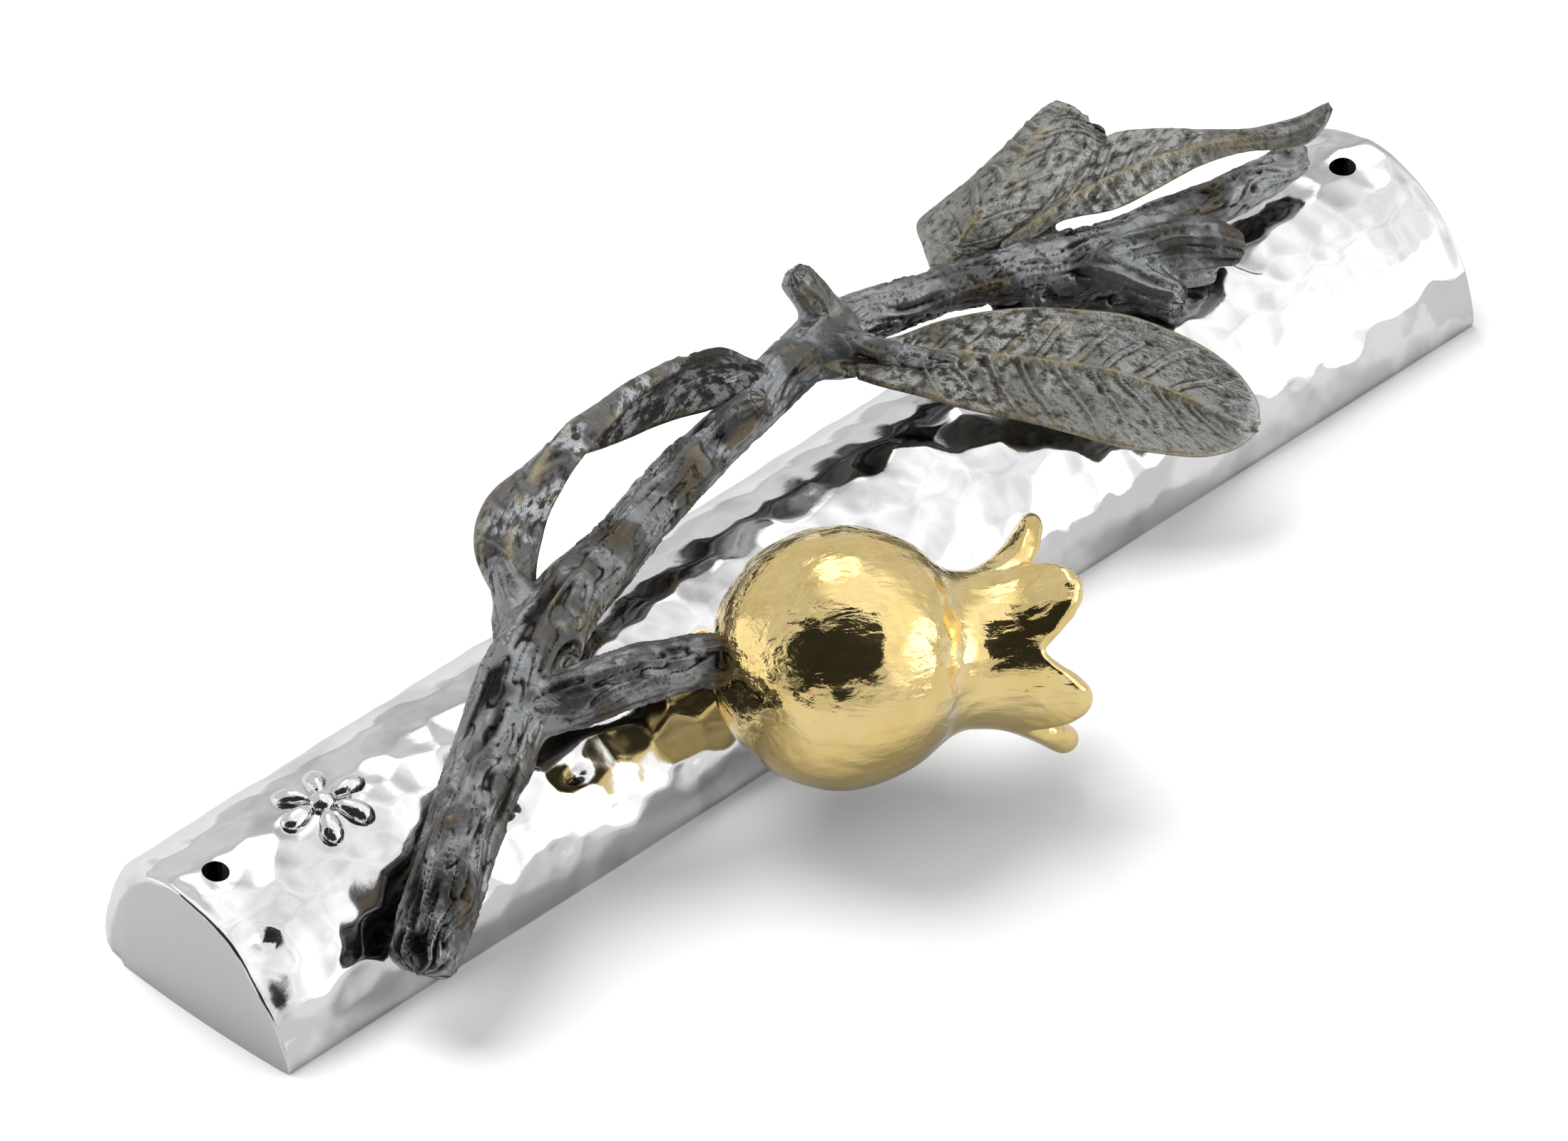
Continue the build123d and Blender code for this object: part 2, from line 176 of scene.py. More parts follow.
def points_of(obj):
    return read(obj.data.vertices, "co") / MM


def normals_of(obj):
    return read(obj.data.vertices, "normal")


def edges_of(obj):
    return read(obj.data.edges, "vertices", 2, np.int64)


def move_points(obj, points):
    obj.data.vertices.foreach_set("co", (np.asarray(points) * MM).ravel())
    obj.data.update()


def bake_modifiers(obj):
    """Keeps what the modifiers make and drops them."""
    bpy.context.view_layer.update()
    graph = bpy.context.evaluated_depsgraph_get()
    final = bpy.data.meshes.new_from_object(obj.evaluated_get(graph))
    obj.modifiers.clear()
    spare = obj.data
    obj.data = final
    bpy.data.meshes.remove(spare)


def voxel_remesh(obj, size):
    remesh = obj.modifiers.new("remesh", "REMESH")
    remesh.mode = "VOXEL"
    remesh.voxel_size = size * MM
    remesh.use_smooth_shade = True
    bake_modifiers(obj)


def boolean(obj, other, operation):
    cut = obj.modifiers.new("cut", "BOOLEAN")
    cut.operation = operation
    cut.solver = "MANIFOLD"
    cut.object = other
    bake_modifiers(obj)


def relax(obj, rounds, weight=1.0):
    """Pulls each point towards the mean of its neighbours."""
    points, edges = points_of(obj), edges_of(obj)
    count = np.bincount(edges.ravel(), minlength=len(points))[:, None]
    weight = np.broadcast_to(np.asarray(weight, float), (len(points),))[:, None]
    for _ in range(rounds):
        total = np.zeros_like(points)
        for axis in range(3):
            total[:, axis] += np.bincount(edges[:, 0], points[edges[:, 1], axis], len(points))
            total[:, axis] += np.bincount(edges[:, 1], points[edges[:, 0], axis], len(points))
        points += (total / np.maximum(count, 1) - points) * weight * 0.6
    move_points(obj, points)


@contextmanager
def editing(mesh):
    shape = bmesh.new()
    shape.from_mesh(mesh)
    yield shape
    shape.to_mesh(mesh)
    shape.free()


def smooth_shade(obj, crease_degrees=180):
    """Smooth shading, with edges sharper than the crease angle kept crisp."""
    limit = math.radians(crease_degrees)
    with editing(obj.data) as shape:
        for face in shape.faces:
            face.smooth = True
        if crease_degrees < 180:
            for edge in shape.edges:
                edge.smooth = len(edge.link_faces) == 2 and edge.calc_face_angle(0) < limit


def face_outward(obj):
    with editing(obj.data) as shape:
        bmesh.ops.recalc_face_normals(shape, faces=shape.faces)


def set_attribute(obj, name, values):
    """A number or a vector for every point, for the material to read."""
    values = np.asarray(values, np.float32)
    kind, key = ("FLOAT", "value") if values.ndim == 1 else ("FLOAT_VECTOR", "vector")
    layer = obj.data.attributes.new(name, kind, "POINT")
    layer.data.foreach_set(key, values.ravel())


def through(rows, step):
    """Smooth line through rows whose first three numbers are a place, resampled about a step apart.

    Gives the new rows and how far along the line each one lies.
    """
    cuts = 40  # between two given rows, before resampling
    rows = np.array(rows, float)
    padded = np.vstack([2 * rows[0] - rows[1], rows, 2 * rows[-1] - rows[-2]])
    fine = []
    for a, b, c, d in zip(padded, padded[1:], padded[2:], padded[3:]):
        for t in np.linspace(0, 1, cuts, endpoint=False):
            bend = (2 * a - 5 * b + 4 * c - d) * t * t + (3 * b - a - 3 * c + d) * t**3
            fine.append((2 * b + (c - a) * t + bend) / 2)
    fine = np.array(fine + [rows[-1]])
    run = np.concatenate([[0], np.cumsum(np.linalg.norm(np.diff(fine[:, :3], axis=0), axis=1))])
    at = np.linspace(0, run[-1], max(int(run[-1] / step), 3) + 1)
    return np.stack([np.interp(at, run, column) for column in fine.T], axis=1), at


def carried_frames(path):
    """Tangent and two square directions along a path, carried along without twist."""
    tangent = unit(np.gradient(path, axis=0))
    side = np.zeros_like(tangent)
    start = np.cross(tangent[0], (0.0, 0.0, 1.0))
    side[0] = start / np.linalg.norm(start)
    for i in range(1, len(path)):
        carried = side[i - 1] - tangent[i] * (side[i - 1] @ tangent[i])
        side[i] = carried / np.linalg.norm(carried)
    return tangent, side, np.cross(tangent, side)


def band(low, high, around):
    """Quads between two closed rings of points, given by the number of each one's first point."""
    turns = [(k, (k + 1) % around) for k in range(around)]
    return [(low + k, low + after, high + after, high + k) for k, after in turns]


def ring_faces(rings, around, first=0):
    """Quads between neighbouring closed rings of points."""
    lows = range(first, first + (rings - 1) * around, around)
    return [quad for low in lows for quad in band(low, low + around, around)]


def tube_faces(rings, around, first=0):
    """Quads between neighbouring rings, and a flat face over each end."""
    last = first + (rings - 1) * around
    caps = [tuple(reversed(range(first, first + around))), tuple(range(last, last + around))]
    return ring_faces(rings, around, first) + caps


def finish_piece(obj, material, *nodes):
    """Gives a finished mesh its material and the case's body, and hides the CAD nodes it stands for."""
    obj.data.materials.clear()
    obj.data.materials.append(material)
    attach(obj, "case")
    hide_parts(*nodes)


# ---- materials

class Nodes:
    """Adds nodes to a tree; every method but plug gives an output socket to use elsewhere."""

    def __init__(self, tree):
        self.nodes = tree.nodes
        self.links = tree.links

    def plug(self, value, socket):
        if isinstance(value, bpy.types.NodeSocket):
            self.links.new(value, socket)
        elif isinstance(value, tuple) and len(value) == 3 and socket.type == "RGBA":
            socket.default_value = (*value, 1)
        else:
            socket.default_value = value

    def add(self, kind, output, inputs, **settings):
        """Adds a node with its settings and inputs, and gives one of its output sockets."""
        node = self.nodes.new("ShaderNode" + kind)
        for name, value in settings.items():
            setattr(node, name, value)
        for name, value in inputs.items():
            self.plug(value, node.inputs[name])
        return node.outputs[output]

    def noise(self, where, scale, detail=3, roughness=0.55, distortion=0.0):
        grain = {"Scale": scale, "Detail": detail, "Roughness": roughness, "Distortion": distortion}
        return self.add("TexNoise", "Fac", {"Vector": where, **grain})

    def ramp(self, value, low, high, to=(0.0, 1.0)):
        ends = {"From Min": low, "From Max": high, "To Min": to[0], "To Max": to[1]}
        return self.add("MapRange", "Result", {"Value": value, **ends}, interpolation_type="SMOOTHSTEP")

    def math(self, operation, a, b=0.0):
        return self.add("Math", 0, {0: a, 1: b}, operation=operation)

    def plus(self, a, b):
        return self.math("ADD", a, b)

    def minus(self, a, b):
        return self.math("SUBTRACT", a, b)

    def times(self, a, b):
        return self.math("MULTIPLY", a, b)

    def mix(self, factor, a, b):
        return self.add("Mix", 2, {0: factor, 6: a, 7: b}, data_type="RGBA")

    def axis_part(self, vector, axis):
        return self.add("SeparateXYZ", axis, {0: vector})

    def geometry(self, output):
        return self.add("NewGeometry", output, {})

    def ray_is(self, kind):
        return self.add("LightPath", f"Is {kind} Ray", {})


class Recipe(Nodes):
    """Builds one node-based material."""

    def __init__(self, name):
        self.material = bpy.data.materials.new(name)
        self.material.use_nodes = True
        super().__init__(self.material.node_tree)
        self.shader = self.nodes["Principled BSDF"]

    def place(self, stretch=(1, 1, 1)):
        """Position in millimetres, stretched per axis."""
        where = self.add("TexCoord", "Object", {})
        return self.add("Mapping", "Vector", {"Vector": where, "Scale": tuple(s / MM for s in stretch)})

    def attribute(self, name, output="Fac"):
        return self.add("Attribute", output, {}, attribute_name=name)

    def pointiness(self, low, high):
        return self.ramp(self.geometry("Pointiness"), low, high)

    def bump(self, height, depth_mm, strength=1.0, under=None):
        inputs = {"Strength": strength, "Distance": depth_mm * MM, "Height": height}
        if under is not None:
            inputs["Normal"] = under
        return self.add("Bump", "Normal", inputs)

    def finish(self, **inputs):
        for name, value in inputs.items():
            self.plug(value, self.shader.inputs[name.replace("_", " ").title().replace("Ior", "IOR")])
        return self.material


def hammered_nickel():
    """Bright plating with clouded patches; the flat ends are satin."""
    r = Recipe("hammered_nickel")
    where = r.place()
    end_face = r.ramp(r.math("ABSOLUTE", r.axis_part(r.geometry("Normal"), "X")), 0.90, 0.97)
    haze = r.ramp(r.noise(where, 0.12, 2), 0.35, 0.75)
    polished = r.plus(r.times(haze, 0.05), 0.045)
    satin = 0.33
    rough = r.plus(polished, r.times(end_face, r.minus(satin, polished)))
    ripple = r.bump(r.noise(where, 0.45, 2, 0.5), 0.05, 0.5)
    grain = r.bump(r.noise(where, 9, 2), 0.006, 0.5, ripple)
    cloud = r.ramp(r.noise(where, 0.075, 3, 0.6), 0.46, 0.58)
    far_end = r.ramp(r.axis_part(where, "X"), 66, 86)
    far_cloud = r.times(far_end, r.ramp(r.noise(where, 0.16, 3), 0.42, 0.50))
    cloud = r.math("MAXIMUM", cloud, far_cloud)
    tone = r.mix(cloud, (0.93, 0.93, 0.935), (0.74, 0.74, 0.75))
    tone = r.mix(end_face, tone, (0.66, 0.66, 0.67))
    return r.finish(base_color=tone, metallic=1.0, roughness=rough, normal=grain)


def emblem_nickel():
    r = Recipe("emblem_nickel")
    where = r.place()
    ripple = r.bump(r.noise(where, 0.9, 3), 0.05, 0.6)
    # Painted shade: the nickel is darkened in the concave hollows between the petals and round the bead
    tone = r.mix(r.pointiness(0.44, 0.52), (0.45, 0.45, 0.46), (0.90, 0.90, 0.905))
    return r.finish(base_color=tone, metallic=1.0, roughness=0.07, normal=ripple)


def aged_bronze(name, body, silver, worn_tone, dull, glossy):
    """Dark oxidised casting: glossy silver skin on the ridges, pale wear on edges, and painted shade that
    turns cracks, hollows and whatever the painted_shade attribute marks near black.

    dull and glossy are the roughness of the oxidised body and of the skin.
    """
    r = Recipe(name)
    where = r.place()
    bark = r.attribute("bark", "Vector")
    patches = r.noise(where, 0.16, 3, 0.55)
    grain = r.noise(where, 1.7, 4, 0.6)
    streaks = r.noise(bark, 1.15, 5, 0.62)
    brown_body = tuple(b * c for b, c in zip(body, (0.95, 0.76, 0.55)))
    dark = r.mix(r.ramp(streaks, 0.38, 0.50), tuple(0.35 * c for c in body), body)
    brown = r.mix(r.ramp(patches, 0.33, 0.44), brown_body, dark)
    skin = r.times(r.ramp(streaks, 0.46, 0.54), r.ramp(patches, 0.44, 0.54))
    skin = r.math("MAXIMUM", skin, r.times(r.attribute("shine"), r.ramp(streaks, 0.32, 0.50)))
    plated = r.mix(skin, brown, silver)
    worn = r.math("MAXIMUM", r.times(r.pointiness(0.53, 0.60), 0.6), r.attribute("worn"))
    worn = r.times(worn, r.ramp(r.noise(where, 0.40, 4), 0.34, 0.62))
    tone = r.mix(worn, plated, worn_tone)
    # Painted shade: near black where the painted_shade attribute is high (cracks, grooves beside veins,
    # undersides, the side turned from the camera)
    tone = r.mix(r.ramp(r.attribute("painted_shade"), 0.05, 0.8), tone, (0.010, 0.008, 0.006))
    # Painted shade: near black in concave hollows found by pointiness
    tone = r.mix(r.pointiness(0.485, 0.42), tone, (0.010, 0.009, 0.008))
    pits = r.bump(grain, 0.14, 0.8)
    fibres = r.bump(streaks, 0.40, 0.9, pits)
    return r.finish(
        base_color=tone,
        metallic=r.ramp(skin, 0.0, 1.0, (0.80, 1.0)),
        roughness=r.ramp(skin, 0.0, 1.0, (dull, glossy)),
        normal=fibres,
    )


def gilt():
    """Bright gilding with fine wrinkles along the fruit."""
    r = Recipe("gilt")
    where = r.place()
    along = r.attribute("bark", "Vector")
    wrinkles = r.bump(r.noise(along, 0.9, 3, 0.5, 0.8), 0.16, 0.6)
    pores = r.bump(r.noise(where, 1.0, 3, 0.5), 0.07, 0.5, wrinkles)
    tone = r.mix(r.ramp(r.noise(where, 0.15, 3), 0.35, 0.7), (1.0, 0.78, 0.36), (0.93, 0.69, 0.27))
    # Painted highlight: the neck's crease is paled towards cream, in place of the bright highlight it
    # shows
    tone = r.mix(r.attribute("neck"), tone, (1.0, 0.88, 0.60))
    # The floor sees plain grey, so that the shadow under the fruit stays neutral
    tone = r.mix(r.ray_is("Diffuse"), tone, (0.55, 0.55, 0.55))
    rough = r.ramp(r.noise(where, 0.5, 3), 0.3, 0.7, (0.04, 0.09))
    return r.finish(base_color=tone, metallic=1.0, roughness=rough, normal=pores)


def brushed_steel():
    r = Recipe("brushed_steel")
    lines = r.noise(r.place((0.05, 3.0, 3.0)), 1.6, 3)
    return r.finish(
        base_color=r.mix(lines, (0.62, 0.62, 0.63), (0.434, 0.434, 0.441)),
        metallic=1.0,
        roughness=r.ramp(lines, 0.3, 0.7, (0.24, 0.42)),
        normal=r.bump(lines, 0.01, 0.4),
    )


def parchment():
    r = Recipe("parchment")
    where = r.place()
    return r.finish(
        base_color=r.mix(r.noise(where, 0.25, 4), (0.70, 0.57, 0.36), (0.82, 0.73, 0.53)),
        roughness=0.75,
        normal=r.bump(r.noise(where, 2.5, 3), 0.03, 0.5),
    )


def clear_film():
    r = Recipe("clear_film")
    scuffs = r.noise(r.place(), 0.7, 4)
    return r.finish(
        base_color=(0.96, 0.97, 0.98),
        roughness=r.ramp(scuffs, 0.3, 0.7, (0.05, 0.2)),
        transmission_weight=1.0,
        ior=1.45,
        normal=r.bump(scuffs, 0.02, 0.3),
    )


def felt():
    r = Recipe("felt")
    fuzz = r.noise(r.place(), 3.0, 5, 0.7)
    return r.finish(
        base_color=r.mix(fuzz, (0.045, 0.045, 0.05), (0.13, 0.13, 0.135)),
        roughness=0.95,
        sheen_weight=0.5,
        normal=r.bump(fuzz, 0.15, 0.8),
    )


# ---- case

def welded_copy(node):
    """Loose copy of a CAD node with its seams closed, to cut with."""
    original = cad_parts[node]
    mesh = original.data.copy()
    mesh.transform(original.matrix_world)
    with editing(mesh) as shape:
        bmesh.ops.remove_doubles(shape, verts=shape.verts, dist=0.002 * MM)
    return put_in_scene("cutter", mesh)


# Deep marks in the skin: place along the case and angle round it in degrees, from +Y over the crest
PUNCH_MARKS = [(-86.0, 126), (-52.5, 134), (-49.5, 122), (-42.5, 136), (-20.5, 118)]


def case_outline(radius):
    """Half round that runs on below the flat back, and the way that each of its points faces."""
    low_edge = -1.0  # the CAD shell trims what lies below the back
    side_levels = (low_edge, -0.55, -0.1)
    turn = np.linspace(0, np.pi, 150)
    y, z = -radius * np.cos(turn), radius * np.sin(turn)
    # The long edges draw in a little
    y *= 1 - 0.014 * share(1 - z / 0.8) ** 2
    start = [(y[0], level) for level in side_levels]
    stop = [(y[-1], level) for level in reversed(side_levels)]
    base = [(across, low_edge) for across in np.linspace(y[-1], y[0], 30)[1:-1]]
    outline = np.array(start + list(zip(y, z)) + stop + base)
    outward = np.concatenate([
        [(-1, 0)] * len(start),
        np.column_stack([-np.cos(turn), np.sin(turn)]),
        [(1, 0)] * len(stop),
        np.array(base) * (1 / radius, 0),
    ])
    return outline, outward


def beaten_depth(points, radius):
    """How far in the skin is beaten at each point."""
    x, y, z = points.T
    angle = np.arctan2(z, y)
    sheet = np.column_stack([x, angle * radius])
    from_near_end = x + CASE_HALF
    near_end = 1 - share(from_near_end / 12)

    # Hammer marks, fading out at the base and just before the rims
    marks = 0.36 * (1 - dents(sheet, 9.0, 11)) + 0.20 * (1 - dents(sheet * (1, 1.15), 4.6, 23))
    swell = 0.10 * (1 + lattice_noise(points / (16, 12, 12), 31))
    marks += 0.30 * near_end * (1 - dents(sheet, 6.5, 37))
    fade = share(z / 6.0 - 0.1) ** 0.8 * np.interp(y / radius, [0, 0.5], [1, 0.6])
    fade *= np.clip((CASE_HALF + 0.4 - np.abs(x)) / 2.2, 0.45, 1)
    depth = np.clip(marks + swell, 0, 1.2) * fade

    # The rim rolls over unevenly at the near end
    roll = np.exp(-from_near_end / 2.4) * share(-y / 5)
    roll *= 0.55 + 0.45 * lattice_noise(points / 4.0, 43)
    depth += roll * share(z / 4)

    # Low on the fruit's side the skin falls away towards that rim
    low_side = bell(np.degrees(angle) - 142, 16)
    reach = 7.0 + 1.6 * lattice_noise(points / 5.0, 47)
    fall = 1.25 * share((reach - from_near_end) / 7) ** 1.2
    depth += low_side * (fall - 0.5 * depth * near_end)
    for place, degrees in PUNCH_MARKS:
        gap = np.hypot(x - place, 1.3 * radius * (angle - math.radians(degrees)))
        depth += 0.55 * bell(gap, 1.15)
    return depth


def case_shell(material):
    """Half-round shell with a hammered skin; the CAD shell supplies its hollow, grooves and holes."""
    skin = 0.03  # how far it stays inside the CAD one, so that the two never coincide
    radius = CASE_RADIUS - skin
    half = CASE_HALF - skin
    outline, outward = case_outline(radius)
    around = len(outline)

    # The near rim is crisp on the fruit's side and softly rounded on the other; the far one is crisp
    # all round, as the sliding plate reaches almost to it
    from_side = outline[:, 0] / radius
    near_soft = np.interp(from_side, [-1, 0.05, 0.35, 0.7, 1], [0.35, 0.4, 1.3, 4.0, 6.0])
    far_soft = np.minimum(near_soft, 0.7)
    end_x = half - END_BULGE * from_side**2

    def rim_ring(side, soft, level):
        """Ring in a rim's rounding; level runs from 0 where it leaves the skin to pi / 2 on the end."""
        x = side * (end_x - soft * (1 - math.sin(level)))
        return np.column_stack([x, outline - outward * (soft * (1 - math.cos(level)))[:, None]])

    round_over = np.linspace(0, np.pi / 2, 7)
    rings = [rim_ring(-1, near_soft, level) for level in round_over[::-1]]
    for level in np.linspace(0, 1, 350)[1:-1]:
        x = (level - 1) * (end_x - near_soft) + level * (end_x - far_soft)
        rings.append(np.column_stack([x, outline]))
    rings += [rim_ring(1, far_soft, level) for level in round_over]
    faces = ring_faces(len(rings), around)
    points = np.concatenate(rings)
    points = points - unit(points * (0, 1, 1)) * beaten_depth(points, radius)[:, None]

    # Ends closed by shrinking rings
    steps = 10
    middle_height = 0.42 * radius
    for ring_index, side in ((0, -1), (len(rings) - 1, 1)):
        previous = ring_index * around
        rim = points[previous:previous + around]
        middle = np.array((side * half, 0, middle_height))
        for step in range(1, steps):
            shrunk = rim + (middle - rim) * step / steps
            shrunk[:, 0] = side * (half - END_BULGE * (shrunk[:, 1] / radius) ** 2)
            first = len(points)
            points = np.vstack([points, shrunk])
            faces.extend(band(previous, first, around))
            previous = first
        points = np.vstack([points, middle])
        faces.extend((previous + k, previous + (k + 1) % around, len(points) - 1) for k in range(around))

    shell = new_object("hammered_shell", points, faces)
    face_outward(shell)
    cutter = welded_copy("case_shell")
    boolean(shell, cutter, "INTERSECT")
    bpy.data.objects.remove(cutter)
    smooth_shade(shell, 32)
    finish_piece(shell, material, "case_shell")


def rosette(material):
    """Six domed petals and a bead, saddled on the case's crest."""
    points, faces = [], []
    sunk = 0.35  # how far the middle of each pebble lies below the case's skin

    def pebble(middle, long_way, reach, width, height, taper):
        """Flattened egg resting on the case; its narrow end points inward."""
        first = sum(len(p) for p in points)
        rings, around = 22, 36
        turn = np.linspace(0, 2 * np.pi, around, endpoint=False)
        wide_way = np.array((-long_way[1], long_way[0]))
        made = []
        for level in np.linspace(-np.pi / 2 + 0.02, np.pi / 2 - 0.02, rings):
            run = np.cos(turn) * math.cos(level)
            flat = middle + long_way * (run * reach)[:, None]
            flat = flat + wide_way * (np.sin(turn) * math.cos(level) * width * (1 + taper * run))[:, None]
            ground = np.sqrt(CASE_RADIUS**2 - flat[:, 1] ** 2) - sunk
            made.append(np.column_stack([flat, ground + height * math.sin(level)]))
        points.append(np.concatenate(made))
        faces.extend(tube_faces(rings, around, first))

    centre = EMBLEM[:2]
    petals = 6
    for k in range(petals):
        angle = k * 2 * math.pi / petals
        way = np.array((math.cos(angle), math.sin(angle)))
        pebble(centre + 3.55 * way, way, reach=2.3, width=1.3, height=1.2, taper=0.28)
    pebble(centre, np.array((1.0, 0.0)), reach=1.6, width=1.6, height=1.35, taper=0.0)
    emblem = new_object("rosette", np.concatenate(points), faces)
    face_outward(emblem)
    voxel_remesh(emblem, 0.08)
    relax(emblem, 4)
    at, normal = points_of(emblem), normals_of(emblem)
    move_points(emblem, at + normal * (0.03 * fractal(at / 0.9, 41))[:, None])
    smooth_shade(emblem)
    finish_piece(emblem, material, "front_emblem")


# ---- branch

# Limbs of the casting: (x, y, z, radius) stations from root to end
LIMBS = {
    "main": [
        (-73.4, -19.8, 9.1, 4.1), (-69.1, -17.9, 12.5, 4.15), (-64.4, -15.7, 15.5, 4.1),
        (-53.0, -9.2, 18.6, 4.4), (-42.9, -3.7, 21.1, 4.6), (-33.4, 0.2, 22.1, 3.9),
        (-20.4, 3.9, 22.1, 3.2), (-8.6, 7.4, 22.1, 3.05), (2.0, 9.6, 22.6, 3.0), (11.3, 11.4, 23.1, 3.1),
        (19.4, 12.0, 23.1, 3.1), (28.3, 10.1, 23.1, 2.7), (38.5, 7.3, 22.5, 2.9), (46.8, 4.7, 21.8, 3.1),
        (54.1, 2.5, 21.3, 2.9),
    ],
    "fruit_stem": [
        (-49.5, -6.7, 20.0, 2.9), (-42.9, -10.6, 21.3, 3.2), (-36.7, -13.0, 22.1, 3.2),
        (-31.3, -15.2, 22.1, 3.0), (-27.6, -17.2, 21.6, 3.0),
    ],
    "tip_twig": [
        (51.3, 3.4, 21.6, 2.6), (58.0, 2.0, 21.4, 2.7), (65.8, 1.4, 20.4, 2.5), (72.3, 0.9, 20.3, 2.3),
        (78.4, 1.2, 19.8, 1.9),
    ],
    "twig_end": [(75.4, 2.0, 21.3, 1.3), (77.4, 1.4, 21.0, 1.4), (79.0, 1.0, 20.5, 1.2)],
    "bud": [
        (51.2, 1.8, 21.4, 2.5), (56.6, -0.9, 21.5, 2.8), (59.7, -3.7, 21.2, 2.8), (62.0, -5.8, 20.4, 2.0),
    ],
    "bud_scale": [
        (47.8, 2.6, 20.6, 2.6), (50.2, -0.4, 19.6, 2.8), (51.5, -3.0, 18.9, 2.6), (52.6, -5.9, 18.5, 2.2),
    ],
    "under_web": [
        (38.0, 7.2, 18.8, 1.7), (43.0, 5.0, 18.5, 2.2), (47.5, 0.8, 18.3, 2.6), (50.5, -1.6, 18.4, 2.2),
    ],
    "bud_lobe": [(54.0, -0.6, 19.2, 2.0), (57.0, -2.6, 18.4, 2.0), (59.6, -4.4, 17.9, 1.4)],
    "stub": [(18.6, 12.2, 23.1, 2.6), (17.4, 14.5, 27.1, 2.25), (16.1, 15.8, 30.0, 2.0)],
    "knot": [(-2.8, 8.0, 22.7, 2.6), (0.0, 6.5, 25.7, 2.5), (1.0, 5.8, 26.9, 2.2)],
    "knob": [(-37.9, 2.0, 22.3, 2.6), (-37.0, 5.0, 24.5, 2.0), (-36.2, 7.0, 25.7, 1.5)],
    "broad_root": [
        (14.6, 11.5, 22.9, 3.0), (17.2, 7.8, 23.3, 2.7), (21.1, 3.6, 22.9, 1.6), (25.1, 0.2, 22.1, 0.8),
    ],
    "arch_root": [
        (-39.4, 0.4, 21.9, 3.2), (-37.0, 4.2, 22.3, 2.5), (-34.4, 8.0, 24.0, 1.6),
        (-32.0, 10.2, 25.6, 0.8),
    ],
    "arch_end": [(12.6, 11.5, 23.3, 2.2), (6.8, 11.7, 24.6, 1.3), (1.0, 11.7, 26.5, 0.7)],
    "folded_root": [(33.0, 8.7, 22.7, 2.4), (35.7, 10.6, 23.2, 2.0), (39.4, 13.5, 24.1, 1.0)],
    "tip_root": [(39.3, 6.7, 22.7, 2.3), (42.6, 7.7, 23.5, 1.7), (47.8, 8.2, 24.8, 0.9)],
}
WORN_LIMBS = ("knot", "knob", "stub", "twig_end")
SCALY_LIMBS = ("bud", "bud_scale", "bud_lobe")


def limb_mesh(line):
    """Closed tube along a limb's smooth line, with its ends rounded over."""
    path, radii = line[:, :3], line[:, 3]
    tangent, side, up = carried_frames(path)
    around = 40
    turn = np.linspace(0, 2 * np.pi, around, endpoint=False)
    rings = []

    def ring(i, radius, ahead=0.0):
        spread = np.cos(turn)[:, None] * side[i] + np.sin(turn)[:, None] * up[i]
        rings.append(path[i] + tangent[i] * ahead + spread * radius)

    for level in np.linspace(1.5, 0.2, 5):
        ring(0, radii[0] * math.cos(level), -0.4 * radii[0] * math.sin(level))
    for i in range(len(path)):
        ring(i, radii[i])
    for level in np.linspace(0.2, 1.5, 5):
        ring(-1, radii[-1] * math.cos(level), 0.4 * radii[-1] * math.sin(level))
    return np.concatenate(rings), tube_faces(len(rings), around)


def foot_mesh(place, lean, length):
    """Short round post that stands on the case, its lowest ring following the skin."""
    out = np.array((0, -math.sin(lean), math.cos(lean)))
    along = np.array((1.0, 0, 0))
    across = np.cross(out, along)
    around = 36
    turn = np.linspace(0, 2 * np.pi, around, endpoint=False)
    spread = np.cos(turn)[:, None] * along + np.sin(turn)[:, None] * across
    rings = []
    for height, radius in ((0, 2.5), (0.5, 2.2), (1.3, 2.0), (length, 2.3)):
        level = np.full(around, CASE_RADIUS + height)
        if height == 0:
            level = np.sqrt(CASE_RADIUS**2 - (np.sin(turn) * radius) ** 2)
        rings.append(np.array((place, 0, 0)) + spread * radius + out * level[:, None])
    return np.concatenate(rings), tube_faces(len(rings), around)


def bark_height(along, angle, radius, seed):
    """Height of the bark at a distance along a limb and an angle round it."""
    c, s = np.cos(angle) * radius, np.sin(angle) * radius

    def layer(width, length, number):
        at = np.column_stack([c / width, s / width, along / length])
        return lattice_noise(at + 31.7 * number, seed + number)

    warp = 1.1 * layer(3.0, 6.0, 1)
    wound = np.column_stack([(c + warp) / 1.15, (s + warp) / 1.15, along / 6.5])
    ridges = 1 - 2 * np.abs(lattice_noise(wound, seed + 2))
    cracks = share(1 - np.abs(lattice_noise(wound * (1.9, 1.9, 2.3) + 5.1, seed + 3)) / 0.16)
    return 0.28 * layer(4.6, 6.0, 4) + 0.30 * (ridges - 0.5) - 0.32 * cracks + 0.07 * layer(0.7, 1.0, 5)


